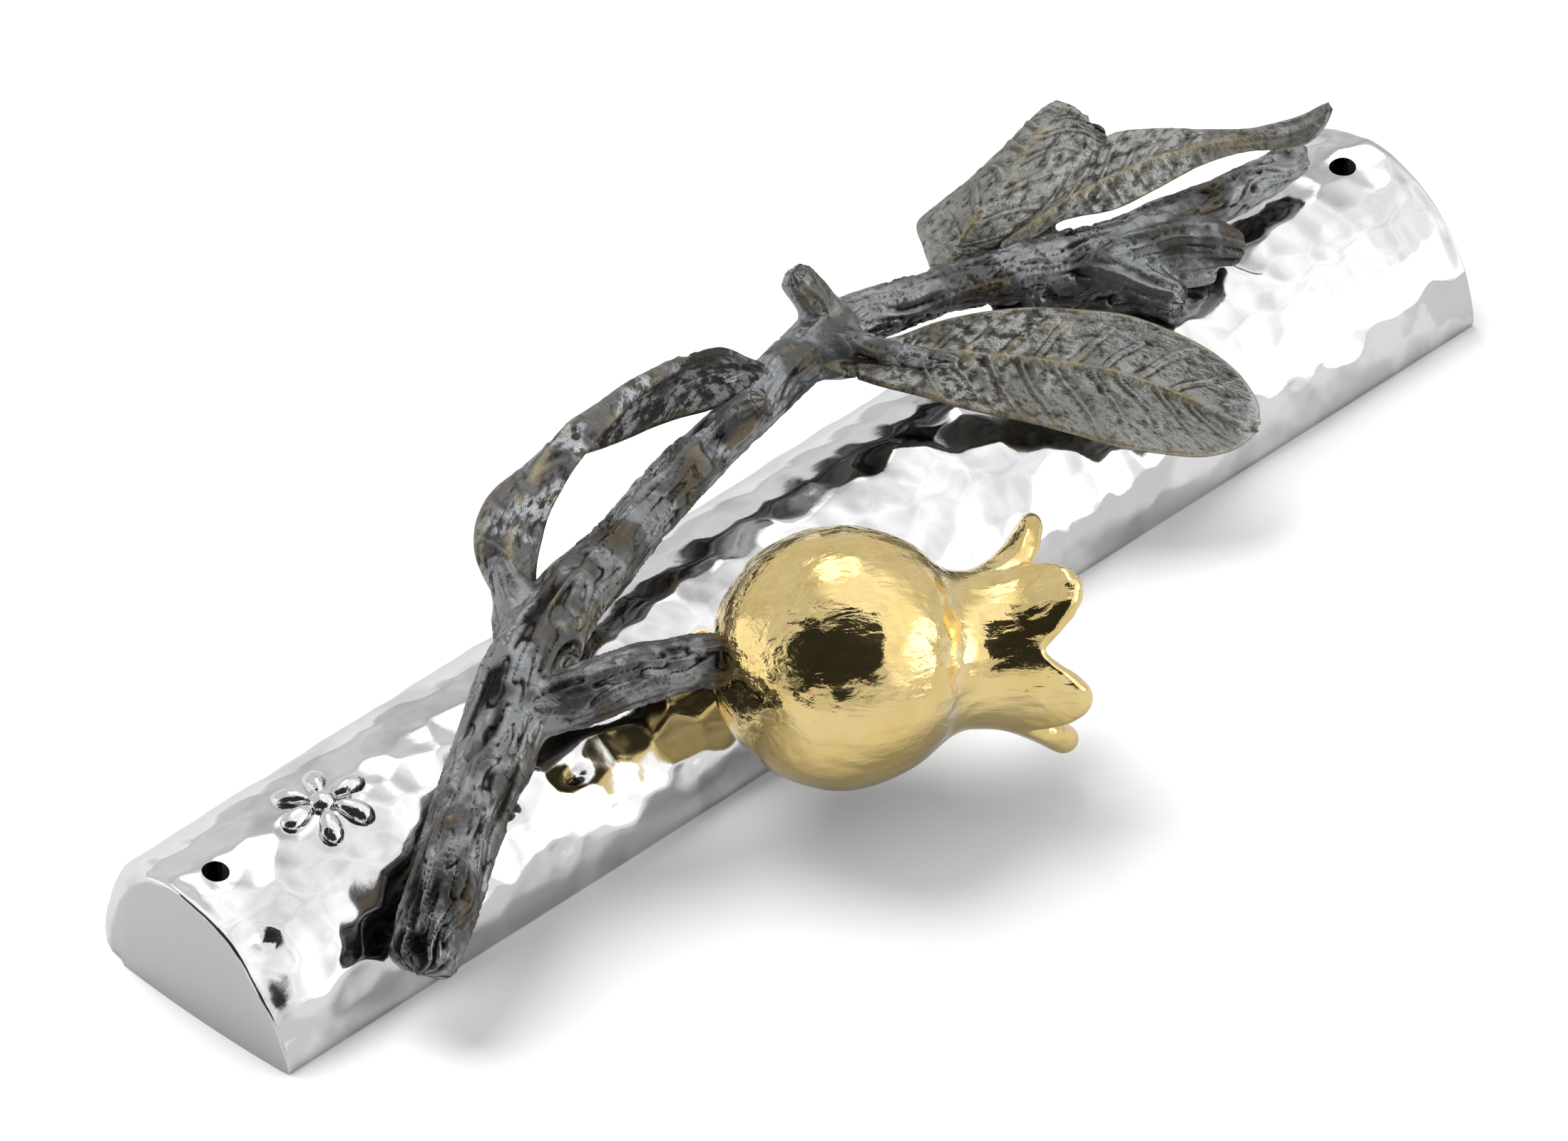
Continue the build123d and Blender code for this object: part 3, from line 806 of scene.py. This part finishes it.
def branch_casting(material):
    """Branch, side stems and leaf roots as one cast skin: merged, blended at the forks, then barked."""
    lines = {name: through(np.array(rows) + (*BRANCH_SHIFT, 0), 0.5) for name, rows in LIMBS.items()}
    parts = [limb_mesh(line) for line, run in lines.values()]
    low, high = box_mm("branch_washers")
    washer_radius = 2.9
    parts.append(foot_mesh(low[0] + washer_radius, lean=math.radians(37), length=6.0))
    parts.append(foot_mesh(high[0] - washer_radius, lean=math.radians(-6), length=4.6))
    points, faces, first = [], [], 0
    for part_points, part_faces in parts:
        points.append(part_points)
        faces.extend(tuple(first + i for i in face) for face in part_faces)
        first += len(part_points)
    casting = new_object("branch_casting", np.concatenate(points), faces)
    face_outward(casting)
    voxel_remesh(casting, 0.24)

    # Each fork is blended round its limb's root
    at = points_of(casting)
    blend = np.zeros(len(at))
    for name, (line, run) in lines.items():
        if name != "main":
            gap = np.linalg.norm(at - line[0, :3], axis=1)
            blend = np.maximum(blend, bell(gap, 1.9 * line[0, 3]))
    relax(casting, 70, np.where(blend > 0.03, blend, 0))
    relax(casting, 6)

    # Bark height at each point, from the limbs whose skin it lies on
    at, normal = points_of(casting), normals_of(casting)
    height = np.zeros(len(at))
    total = np.full(len(at), 1e-9)
    streak = np.zeros((len(at), 3))
    rubbed = np.zeros(len(at))
    for number, (name, (line, run)) in enumerate(lines.items()):
        path, radii = line[:, :3], line[:, 3]
        tangent, side, up = carried_frames(path)
        nearest = ((at**2).sum(1)[:, None] - 2 * at @ path.T + (path**2).sum(1)).argmin(1)
        away = at - path[nearest]
        angle = np.arctan2((away * up[nearest]).sum(1), (away * side[nearest]).sum(1))
        along = run[nearest] + (away * tangent[nearest]).sum(1)
        outside = np.linalg.norm(away, axis=1) - radii[nearest]
        weight = np.exp(-np.maximum(outside + 0.6, 0) / 0.45)
        girth = float(radii.mean())
        bark = bark_height(along, angle, girth, 101 + 10 * number)
        if name in WORN_LIMBS:
            bark = bark * 0.45
            rubbed = np.maximum(rubbed, weight)
        if name in SCALY_LIMBS:
            bark = 0.17 * np.cos(angle * 9 + 0.25 * along + 2.0 * bark) + 0.5 * bark
        if name == "main":
            # Fine growth rings near the cut end
            cut = share(1 - along / 11) * share(0.3 + np.sin(angle + 0.6))
            growth = np.sin(along * 6.1 + 5 * bark + 0.8 * np.sin(2 * angle))
            bark = bark * (1 - 0.4 * cut) + 0.10 * cut * growth
        height += bark * weight
        total += weight
        wide = girth * 1.5
        wrapped = np.column_stack([np.cos(angle) * wide, np.sin(angle) * wide, along * 0.28])
        streak = np.where((weight > 0.6)[:, None], wrapped + 40 * number, streak)
    height = height / total

    # The underside is fuller than the drawn limbs, except close to the case and near the cut end
    fuller = 2.8
    hidden = -normal @ TOWARD_CAMERA
    under = share(hidden - 0.15) * share((at[:, 2] - CASE_RADIUS - 1.0) / 3.0)
    under *= share((at[:, 0] + 62) / 8)
    move_points(casting, at + normal * height[:, None] - TOWARD_CAMERA * (fuller * under)[:, None])
    set_attribute(casting, "worn", share((height - 0.12) / 0.30) * 0.4 + 0.4 * rubbed)
    # Painted shade, stored in painted_shade: near black in the bark's cracks and on the side turned away
    # from the camera
    cracked = share((-height - 0.12) / 0.28)
    set_attribute(casting, "painted_shade", 0.75 * cracked + 0.8 * share(hidden))
    set_attribute(casting, "bark", streak)
    smooth_shade(casting)
    cad_nodes = ("main_branch", "tip_twig", "side_bud", "stub_twig", "fruit_stem")
    finish_piece(casting, material, *cad_nodes)


# ---- leaves

# Blades from root to tip: one edge, the midrib and the other edge, (x, y, z) each
BROAD_LEAF = [
    (15.1, 4.9, 22.7, 16.4, 6.7, 23.5, 18.6, 7.6, 23.7),
    (16.5, 2.9, 22.1, 19.2, 5.2, 23.3, 21.7, 6.0, 24.1),
    (19.5, 0.0, 20.7, 22.6, 3.2, 22.9, 26.1, 4.5, 24.5),
    (23.3, -3.5, 18.7, 26.4, 0.5, 22.1, 30.6, 2.3, 24.7),
    (27.7, -7.1, 16.7, 30.7, -2.3, 20.9, 35.5, -0.2, 24.1),
    (31.7, -11.0, 14.9, 34.8, -5.3, 19.5, 40.0, -3.3, 23.1),
    (35.2, -14.9, 13.3, 38.9, -8.4, 17.9, 44.4, -6.5, 21.7),
    (38.8, -18.0, 12.1, 42.1, -11.7, 16.3, 47.6, -10.5, 19.9),
    (42.1, -20.5, 11.3, 44.4, -14.9, 14.9, 49.9, -14.2, 17.9),
    (45.4, -21.7, 10.9, 46.3, -17.9, 13.7, 50.9, -17.9, 15.9),
    (47.9, -21.8, 10.9, 47.6, -20.4, 12.7, 50.9, -20.3, 13.7),
    (49.5, -21.6, 11.5, 49.3, -21.6, 11.9, 49.9, -21.5, 12.1),
]
ARCH_LEAF = [
    (-34.4, 3.8, 23.3, -37.4, 3.5, 23.9, -39.3, 3.9, 23.3),
    (-32.9, 5.2, 24.7, -36.5, 5.5, 25.7, -38.3, 7.7, 24.9),
    (-30.6, 6.8, 25.9, -34.6, 7.5, 27.1, -36.9, 10.4, 26.1),
    (-28.2, 8.2, 26.9, -31.9, 9.5, 28.3, -34.2, 12.7, 27.1),
    (-25.6, 9.3, 27.7, -28.5, 10.8, 29.3, -30.4, 14.3, 27.5),
    (-22.6, 10.3, 28.5, -24.2, 12.5, 30.1, -26.1, 14.7, 27.1),
    (-19.3, 11.1, 29.1, -19.8, 13.6, 30.7, -21.7, 14.1, 26.9),
    (-15.6, 12.0, 29.4, -15.4, 13.6, 30.9, -17.1, 12.6, 26.7),
    (-10.5, 13.1, 29.5, -10.3, 14.2, 30.5, -13.0, 12.0, 26.3),
    (-6.2, 13.7, 29.1, -5.9, 14.4, 29.8, -9.4, 11.8, 25.9),
    (-1.4, 14.2, 28.3, -1.4, 14.6, 28.8, -5.9, 11.3, 25.5),
    (3.1, 14.0, 27.3, 3.1, 14.0, 27.5, -1.6, 10.2, 25.1),
    (5.7, 12.2, 26.1, 5.3, 11.9, 26.1, 2.5, 10.0, 25.1),
    (7.3, 10.3, 25.1, 7.0, 9.9, 25.1, 6.6, 9.7, 24.7),
]
FOLDED_LEAF = [
    (33.9, 13.0, 22.7, 34.8, 11.3, 23.5, 36.6, 9.6, 22.9),
    (35.6, 15.8, 23.1, 36.4, 11.4, 24.9, 40.1, 9.2, 23.7),
    (37.6, 18.8, 23.5, 38.3, 11.3, 26.7, 43.3, 9.0, 24.7),
    (39.3, 17.3, 25.9, 41.5, 11.6, 28.5, 46.4, 8.5, 25.7),
    (41.6, 16.1, 27.5, 45.0, 12.1, 30.1, 49.8, 8.7, 26.7),
    (44.7, 15.3, 29.1, 48.6, 12.7, 31.5, 53.5, 9.1, 27.7),
    (48.7, 15.1, 30.5, 52.0, 13.4, 32.7, 56.4, 9.6, 28.9),
    (52.1, 15.0, 31.7, 53.8, 13.3, 33.5, 57.2, 9.5, 30.1),
    (54.2, 14.3, 32.9, 54.4, 13.3, 33.5, 55.9, 10.7, 31.5),
]
TIP_LEAF = [
    (39.3, 8.6, 24.0, 40.3, 8.7, 24.6, 42.1, 8.8, 25.0),
    (43.0, 7.5, 24.8, 44.4, 7.8, 25.8, 47.1, 8.9, 26.6),
    (47.2, 6.8, 25.6, 49.0, 7.2, 27.0, 52.9, 9.6, 28.2),
    (52.7, 4.1, 25.4, 54.4, 6.1, 27.6, 58.2, 10.1, 29.2),
    (58.3, 3.2, 25.6, 59.7, 4.8, 27.8, 62.6, 7.6, 29.0),
    (64.2, 2.2, 26.2, 64.9, 3.0, 27.8, 66.4, 4.2, 28.8),
    (69.4, 0.5, 26.4, 69.4, 0.6, 27.8, 70.2, 1.0, 28.6),
    (72.1, -2.3, 26.8, 72.6, -2.0, 28.0, 73.1, -0.7, 28.8),
    (73.8, -4.7, 27.8, 74.6, -3.9, 29.0, 75.3, -2.6, 29.8),
    (75.8, -5.4, 29.4, 76.2, -4.4, 30.2, 76.7, -3.7, 30.8),
    (77.2, -5.1, 31.0, 77.4, -4.6, 31.2, 77.5, -4.3, 31.4),
]


def leaf(node, rows, material, seed, vein_gap=4.2, relief=1.0, seen_at=0.5, shine=(0.5, 0.5)):
    """Cast leaf: a closed blade with a raised midrib, paired side veins and a thick rim.

    seen_at is the fraction of the length at which the upper face is known to look towards the camera;
    shine is how far the upper face is polished, at the root and at the tip.
    """
    line, run = through(np.array(rows) + np.tile(BRANCH_SHIFT, 3), 0.24)
    one, middle, other = line[:, None, 0:3], line[:, None, 3:6], line[:, None, 6:9]
    length = run[-1]
    across = 91
    spread = np.sin(np.linspace(-np.pi / 2, np.pi / 2, across))
    v = spread[None, :, None]
    sheet = middle + (other - one) / 2 * v + ((other + one) / 2 - middle) * v**2
    normal = unit(np.cross(np.gradient(sheet, axis=0), np.gradient(sheet, axis=1)))
    normal *= np.sign(normal[int(seen_at * len(line)), across // 2] @ TOWARD_CAMERA)

    u, v = np.meshgrid(run, spread, indexing="ij")
    away = np.abs(v)
    half = np.where(v < 0, np.linalg.norm(one - middle, axis=2), np.linalg.norm(other - middle, axis=2))
    width = half * away
    flat = np.column_stack([u.ravel(), (v * half).ravel(), np.zeros(u.size)])
    noise = {}
    for size in (0.45, 0.9, 1.8, 4.0):
        noise[size] = lattice_noise(flat / size, seed + int(size * 10)).reshape(u.shape)
    body = share(half / 3.0) * share((length - u) / 6) * np.clip(u / 5, 0.25, 1)
    rounded = np.sqrt(share(1 - away**12))

    # Side veins leave the midrib slanting towards the tip, staggered on its two sides
    stagger = np.where(v < 0, 0.0, 0.45 * vein_gap)
    phase = (u - 0.95 * width + 0.05 * width**2 + 0.9 * noise[4.0] + stagger) / vein_gap
    from_vein = (phase - np.floor(phase) - 0.5) * vein_gap
    reach = share(1.06 - away) ** 0.6 * share(width / 0.8)
    vein = bell(from_vein, 0.27) * reach * body
    groove = bell(np.abs(from_vein) - 0.62, 0.34) * reach * body
    net = share(1 - np.abs(noise[1.8]) / 0.16) * share(away * 1.6 - 0.3) * reach * body
    rib = bell(width, 0.55) * share(half / 1.6) * np.clip((length - u) / 8, 0.15, 1)
    rim = bell((1 - away) * half, 0.5) * body
    rough = 0.06 * noise[0.9] + 0.035 * noise[0.45] + 0.14 * noise[4.0] + 0.04 * noise[1.8]
    skin = 0.26 * vein - 0.16 * groove + 0.10 * net + 0.50 * rib + 0.14 * rim
    shell = (0.5 + 0.15 * rim) * np.clip(half / 0.8, 0.5, 1)
    top = (shell + relief * (skin + rough)) * rounded
    under = (-shell - relief * (0.12 * vein + 0.35 * rib - 0.7 * rough)) * rounded
    upper = sheet + normal * top[..., None]
    lower = sheet + normal * under[..., None]
    loop = np.concatenate([upper, lower[:, -2:0:-1]], axis=1)
    around = loop.shape[1]
    faces = ring_faces(len(line), around)
    last = (len(line) - 1) * around
    points = np.vstack([loop.reshape(-1, 3), loop[0].mean(0), loop[-1].mean(0)])
    for k in range(around):
        after = (k + 1) % around
        faces.append((k, last + around, after))
        faces.append((last + k, last + after, last + around + 1))
    blade = new_object(node + "_blade", points, faces)
    face_outward(blade)

    def both(above, below):
        """One value for every point of the blade, from its two faces."""
        ringed = np.concatenate([above, below[:, -2:0:-1]], axis=1).ravel()
        return np.append(ringed, (0, 0))

    worn = share(0.55 * vein + 0.8 * rib + 0.7 * rim + 0.2 * net + 0.2 * noise[4.0])
    polished = np.interp(u / length, [0.35, 0.75], shine) + 0.25 * noise[4.0]
    # Painted shade: darker in the grooves beside the veins on the upper face, and evenly darker over the
    # whole underside
    painted_shade = share(0.45 * groove - 0.10 * noise[0.9])
    set_attribute(blade, "worn", both(worn, 0.5 * rim))
    set_attribute(blade, "painted_shade", both(painted_shade, 0 * u + 0.45))
    set_attribute(blade, "shine", both(share(polished), 0 * u))
    lengthways, sideways, zero = 0.55 * u, v * half * 0.9, 0 * u
    columns = ((lengthways, lengthways), (sideways, sideways), (zero, zero + 9))
    set_attribute(blade, "bark", np.column_stack([both(*column) for column in columns]))
    smooth_shade(blade)
    finish_piece(blade, material, node)


# ---- fruit

# Crown lobes: angle round the fruit's axis in degrees, then how far the tip's middle stands along the
# axis from the fruit's centre and out from the axis, as CROWN_NOTCH says for the notches between them
CROWN_LOBES = [
    (-12, 21.6, 13.9), (56, 22.4, 12.0), (130, 23.8, 10.4), (200, 24.6, 12.0), (270, 23.0, 11.8),
]
CROWN_NOTCH = (19.0, 9.2)


def pomegranate(material):
    """Hollow globe, neck and flared crown with five thick rounded lobes, as one closed skin."""
    around = 320
    turn = np.linspace(0, 2 * np.pi, around, endpoint=False)
    rim_along = np.full(around, CROWN_NOTCH[0])
    rim_out = np.full(around, CROWN_NOTCH[1])
    for degrees, along, out in CROWN_LOBES:
        off = (turn - math.radians(degrees) + np.pi) % (2 * np.pi) - np.pi
        rise = np.where(np.abs(off) < np.pi / 5, np.cos(2.5 * off), 0) ** 1.35
        rim_along += (along - CROWN_NOTCH[0]) * rise
        rim_out += (out - CROWN_NOTCH[1]) * rise

    # Outside, from the stem's pole over the neck to the rim
    level = np.linspace(-np.pi / 2 + 0.01, 0.76, 130)
    flat = 0 * turn
    globe = [(FRUIT_RADIUS * math.sin(a) + flat, FRUIT_RADIUS * math.cos(a) + flat) for a in level]
    neck = [(10.6, 9.5), (11.8, 8.9), (13.1, 8.5), (14.6, 8.4)]
    knots = [globe[-1]] + [(s + flat, r + flat) for s, r in neck]
    top, waist = neck[-1]
    for up, out in ((0.30, 0.12), (0.62, 0.42), (1.0, 1.0)):
        knots.append((top + (rim_along - top) * up, waist + (rim_out - waist) * out))
    knots = np.array(knots)
    fine = np.linspace(0, len(knots) - 1, 110)
    low = np.minimum(fine.astype(int), len(knots) - 2)
    part = (fine - low)[:, None, None]
    wall = knots[low] * (1 - part) + knots[low + 1] * part
    reach = 12  # rows to each side that smooth the wall
    before = 2 * wall[:1] - wall[reach:0:-1]
    after = 2 * wall[-1:] - wall[-2:-2 - reach:-1]
    padded = np.concatenate([before, wall, after])
    kernel = np.hanning(2 * reach + 3)[1:-1]
    kernel /= kernel.sum()
    wall = sum(weight * padded[i:i + len(wall)] for i, weight in enumerate(kernel))
    outer = np.concatenate([np.array(globe)[:-1], wall])

    # Inside, a wall's thickness in, down through the mouth into the hollow globe
    ahead = unit(np.gradient(wall, axis=0).transpose(0, 2, 1)).transpose(0, 2, 1)
    off_axis = np.stack([-ahead[:, 1], ahead[:, 0]], axis=1)
    lobe = (rim_along - CROWN_NOTCH[0]) / 5
    thick = 2.0 + 0.7 * lobe
    bevel = np.linspace(0, np.pi, 15)[1:-1]
    middle = wall[-1] - off_axis[-1] * thick / 2
    rim = [middle + thick / 2 * (math.cos(a) * off_axis[-1] + math.sin(a) * ahead[-1]) for a in bevel]
    at_neck = 1.8
    depth = at_neck + (thick - at_neck)[None, :] * np.linspace(0, 1, len(wall))[:, None] ** 0.5
    skipped = 30  # rows where the neck's inside would cross the globe's
    inside = (wall - off_axis * depth[:, None, :])[skipped:][::-1]
    hollow = FRUIT_RADIUS - 1.3
    start = math.acos(inside[-1, 1].mean() / hollow)
    down = np.linspace(start, -np.pi / 2 + 0.01, 40)
    bowl = [(hollow * math.sin(a) + flat, hollow * math.cos(a) + flat) for a in down]
    profile = np.concatenate([outer, np.array(rim), inside, np.array(bowl)])

    s, r = profile[:, 0], profile[:, 1]
    sideways = np.cross(FRUIT_AXIS, FRUIT_UP)
    outward = np.cos(turn)[:, None] * FRUIT_UP + np.sin(turn)[:, None] * sideways
    smooth = (s[..., None] * FRUIT_AXIS + r[..., None] * outward).reshape(-1, 3)
    streak = np.stack([np.cos(turn) * r, np.sin(turn) * r, s * 0.33], axis=-1).reshape(-1, 3)
    on_crown = share((s.ravel() - 12) / 4)
    lumps = 0.17 * fractal(smooth / 6.0, 61, 2) * (1 - 0.3 * on_crown)
    furrows = 0.06 * (1 - 2 * np.abs(lattice_noise(streak / 1.9, 67)))
    furrows += 0.035 * lattice_noise(streak / 0.8, 71)
    ripples = 0.035 * lattice_noise(smooth / 1.3, 73)
    amount = lumps + furrows * (0.6 + 0.9 * on_crown) + ripples

    fruit = new_object("pomegranate_skin", smooth + FRUIT, tube_faces(len(profile), around))
    face_outward(fruit)
    move_points(fruit, smooth + FRUIT + normals_of(fruit) * amount[:, None])
    set_attribute(fruit, "bark", streak * 0.9)
    # Where the gilt material paints a highlight on the neck's crease
    set_attribute(fruit, "neck", 0.75 * bell(s.ravel() - 9.7, 1.1))
    smooth_shade(fruit)
    finish_piece(fruit, material, "pomegranate", "pomegranate_crown")


# ---- assembly

nickel = hammered_nickel()
bronze = aged_bronze(
    "aged_bronze", body=(0.115, 0.116, 0.114), silver=(0.47, 0.49, 0.51), worn_tone=(0.40, 0.34, 0.22),
    dull=0.36, glossy=0.22,
)
leaf_bronze = aged_bronze(
    "leaf_bronze", body=(0.165, 0.163, 0.145), silver=(0.45, 0.455, 0.44), worn_tone=(0.42, 0.35, 0.21),
    dull=0.42, glossy=0.31,
)

case_shell(nickel)
rosette(emblem_nickel())
branch_casting(bronze)
leaf("broad_leaf", BROAD_LEAF, leaf_bronze, 201, shine=(0.0, 1.0))
leaf("arch_leaf", ARCH_LEAF, bronze, 221, vein_gap=3.6, relief=0.45, seen_at=0.3, shine=(0.1, 0.0))
leaf("folded_leaf", FOLDED_LEAF, leaf_bronze, 241, vein_gap=3.6, relief=0.8, shine=(0.6, 0.6))
leaf("tip_leaf", TIP_LEAF, leaf_bronze, 261, vein_gap=3.8, relief=0.8, shine=(0.3, 0.6))
pomegranate(gilt())

# CAD pieces that show as they are
for material, nodes in (
    (brushed_steel(), (
        "back_plate", "fruit_stud", "fruit_nut", "branch_screws", "branch_washers", "emblem_push_nuts",
    )),
    (parchment(), ("scroll",)),
    (clear_film(), ("scroll_sleeve",)),
    (felt(), ("scroll_cushions",)),
):
    for node in nodes:
        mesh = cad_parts[node].data
        mesh.materials.clear()
        mesh.materials.append(material)


# ---- studio

# Hot lamps in the tent: the way to each, and the cosine of the angle it spans to each side
HOT_LAMPS = [
    (0.06 * TOWARD_CAMERA + 0.993 * CAMERA_UP - 0.09 * CAMERA_RIGHT, 0.985),
    (0.23 * TOWARD_CAMERA + 0.125 * CAMERA_UP + 0.965 * CAMERA_RIGHT, 0.975),
]


def floor():
    """Pale paper sweep under the case, large enough for every view."""
    grid = 40
    reach = 6000
    level = -0.02  # just below the case, so that the two never coincide
    ways = np.linspace(-reach, reach, grid)
    points = [(x, y, level) for x in ways for y in ways]
    faces = []
    for i in range(grid - 1):
        for j in range(grid - 1):
            k = i * grid + j
            faces.append((k, k + grid, k + grid + 1, k + 1))
    sheet = new_object("paper", points, faces)
    r = Recipe("paper")
    material = r.finish(
        # Mirrors see the paper darker than the camera does: painted shade in the floor's reflection
        base_color=r.mix(r.ray_is("Glossy"), (0.90, 0.90, 0.90), (0.52, 0.52, 0.52)),
        roughness=0.9,
        specular_ior_level=0.1,
        normal=r.bump(r.noise(r.place(), 1.5, 3), 0.01, 0.2),
    )
    sheet.data.materials.append(material)


def studio_world():
    """Bright white tent; mirrors also see the dark gap around the camera."""
    world = bpy.data.worlds.new("tent")
    world.use_nodes = True
    bpy.context.scene.world = world
    t = Nodes(world.node_tree)
    where = t.add("TexCoord", "Generated", {})

    def dot(way):
        return t.add("VectorMath", "Value", {0: where, 1: tuple(way)}, operation="DOT_PRODUCT")

    ahead, right, up = dot(TOWARD_CAMERA), dot(CAMERA_RIGHT), dot(CAMERA_UP)

    # The gap is an uneven oval, its middle a little to the left of the camera
    wobble = t.times(t.minus(t.noise(where, 3.4, 5, 0.62), 0.5), 1.5)
    sideways = t.plus(t.math("ARCTAN2", right, ahead), wobble)
    upward = t.plus(t.math("ARCSINE", up), wobble)
    across = t.math("DIVIDE", t.plus(sideways, math.radians(10)), math.radians(52))
    along = t.math("DIVIDE", t.minus(upward, math.radians(2)), math.radians(42))
    away = t.math("SQRT", t.plus(t.math("POWER", across, 2.0), t.math("POWER", along, 2.0)))
    gap = t.minus(1.0, t.ramp(away, 0.88, 1.06))

    # Lamps above and to the right light the front half of the tent; the far half is greyer
    front = t.ramp(ahead, -0.14, 0.26)
    lamps = t.ramp(t.plus(right, t.times(up, 0.9)), 0.30, 0.75)
    left_lamp = t.times(t.ramp(t.times(right, -1.0), 0.86, 0.95), 0.45)
    tent = t.plus(0.62, t.plus(t.times(t.times(front, lamps), 0.42), left_lamp))
    folds = t.noise(where, 4.5, 3, 0.5)
    tent = t.times(tent, t.plus(0.56, t.times(folds, 0.86)))
    for way, edge in HOT_LAMPS:
        tent = t.plus(tent, t.times(t.ramp(dot(way), edge - 0.02, edge + 0.008), 1.4))

    # Only mirrors see the tent itself; the camera and dull surfaces see an even white
    seen = t.times(tent, t.minus(1.0, t.times(gap, 0.96)))
    glossy = t.ray_is("Glossy")
    plain = t.plus(0.8, t.times(t.ray_is("Camera"), 0.3))
    level = t.plus(t.times(glossy, seen), t.times(t.minus(1.0, glossy), plain))
    background = t.nodes["Background"]
    t.links.new(level, background.inputs["Strength"])
    background.inputs["Color"].default_value = (1.0, 1.0, 1.0, 1)


def stand(name, data, aim, way, distance):
    """Stands a light or a camera off in a direction and turns it to look back."""
    made = put_in_scene(name, data)
    way = Vector(way).normalized()
    made.location = Vector(aim) + way * distance
    made.rotation_euler = way.to_track_quat("Z", "Y").to_euler()
    return made


def key_light():
    """Broad soft light from above and from the far side."""
    light = bpy.data.lights.new("key", "AREA")
    light.shape = "DISK"
    light.size = 1.2
    light.energy = 24
    lamp = stand("key", light, aim=(0, 0, 0), way=(-0.1, 1.0, 1.6), distance=1.6)
    lamp.visible_glossy = False


def camera():
    """Long lens from the fruit's side of the lower end."""
    lens = bpy.data.cameras.new("camera")
    lens.sensor_width = 36
    lens.lens = 483.85
    lens.clip_end = 50
    aim = (0.00571, 0.00685, 0.0)
    bpy.context.scene.camera = stand("camera", lens, aim, TOWARD_CAMERA, distance=2.285)


floor()
studio_world()
key_light()
camera()
bpy.context.scene.view_settings.view_transform = "Standard"
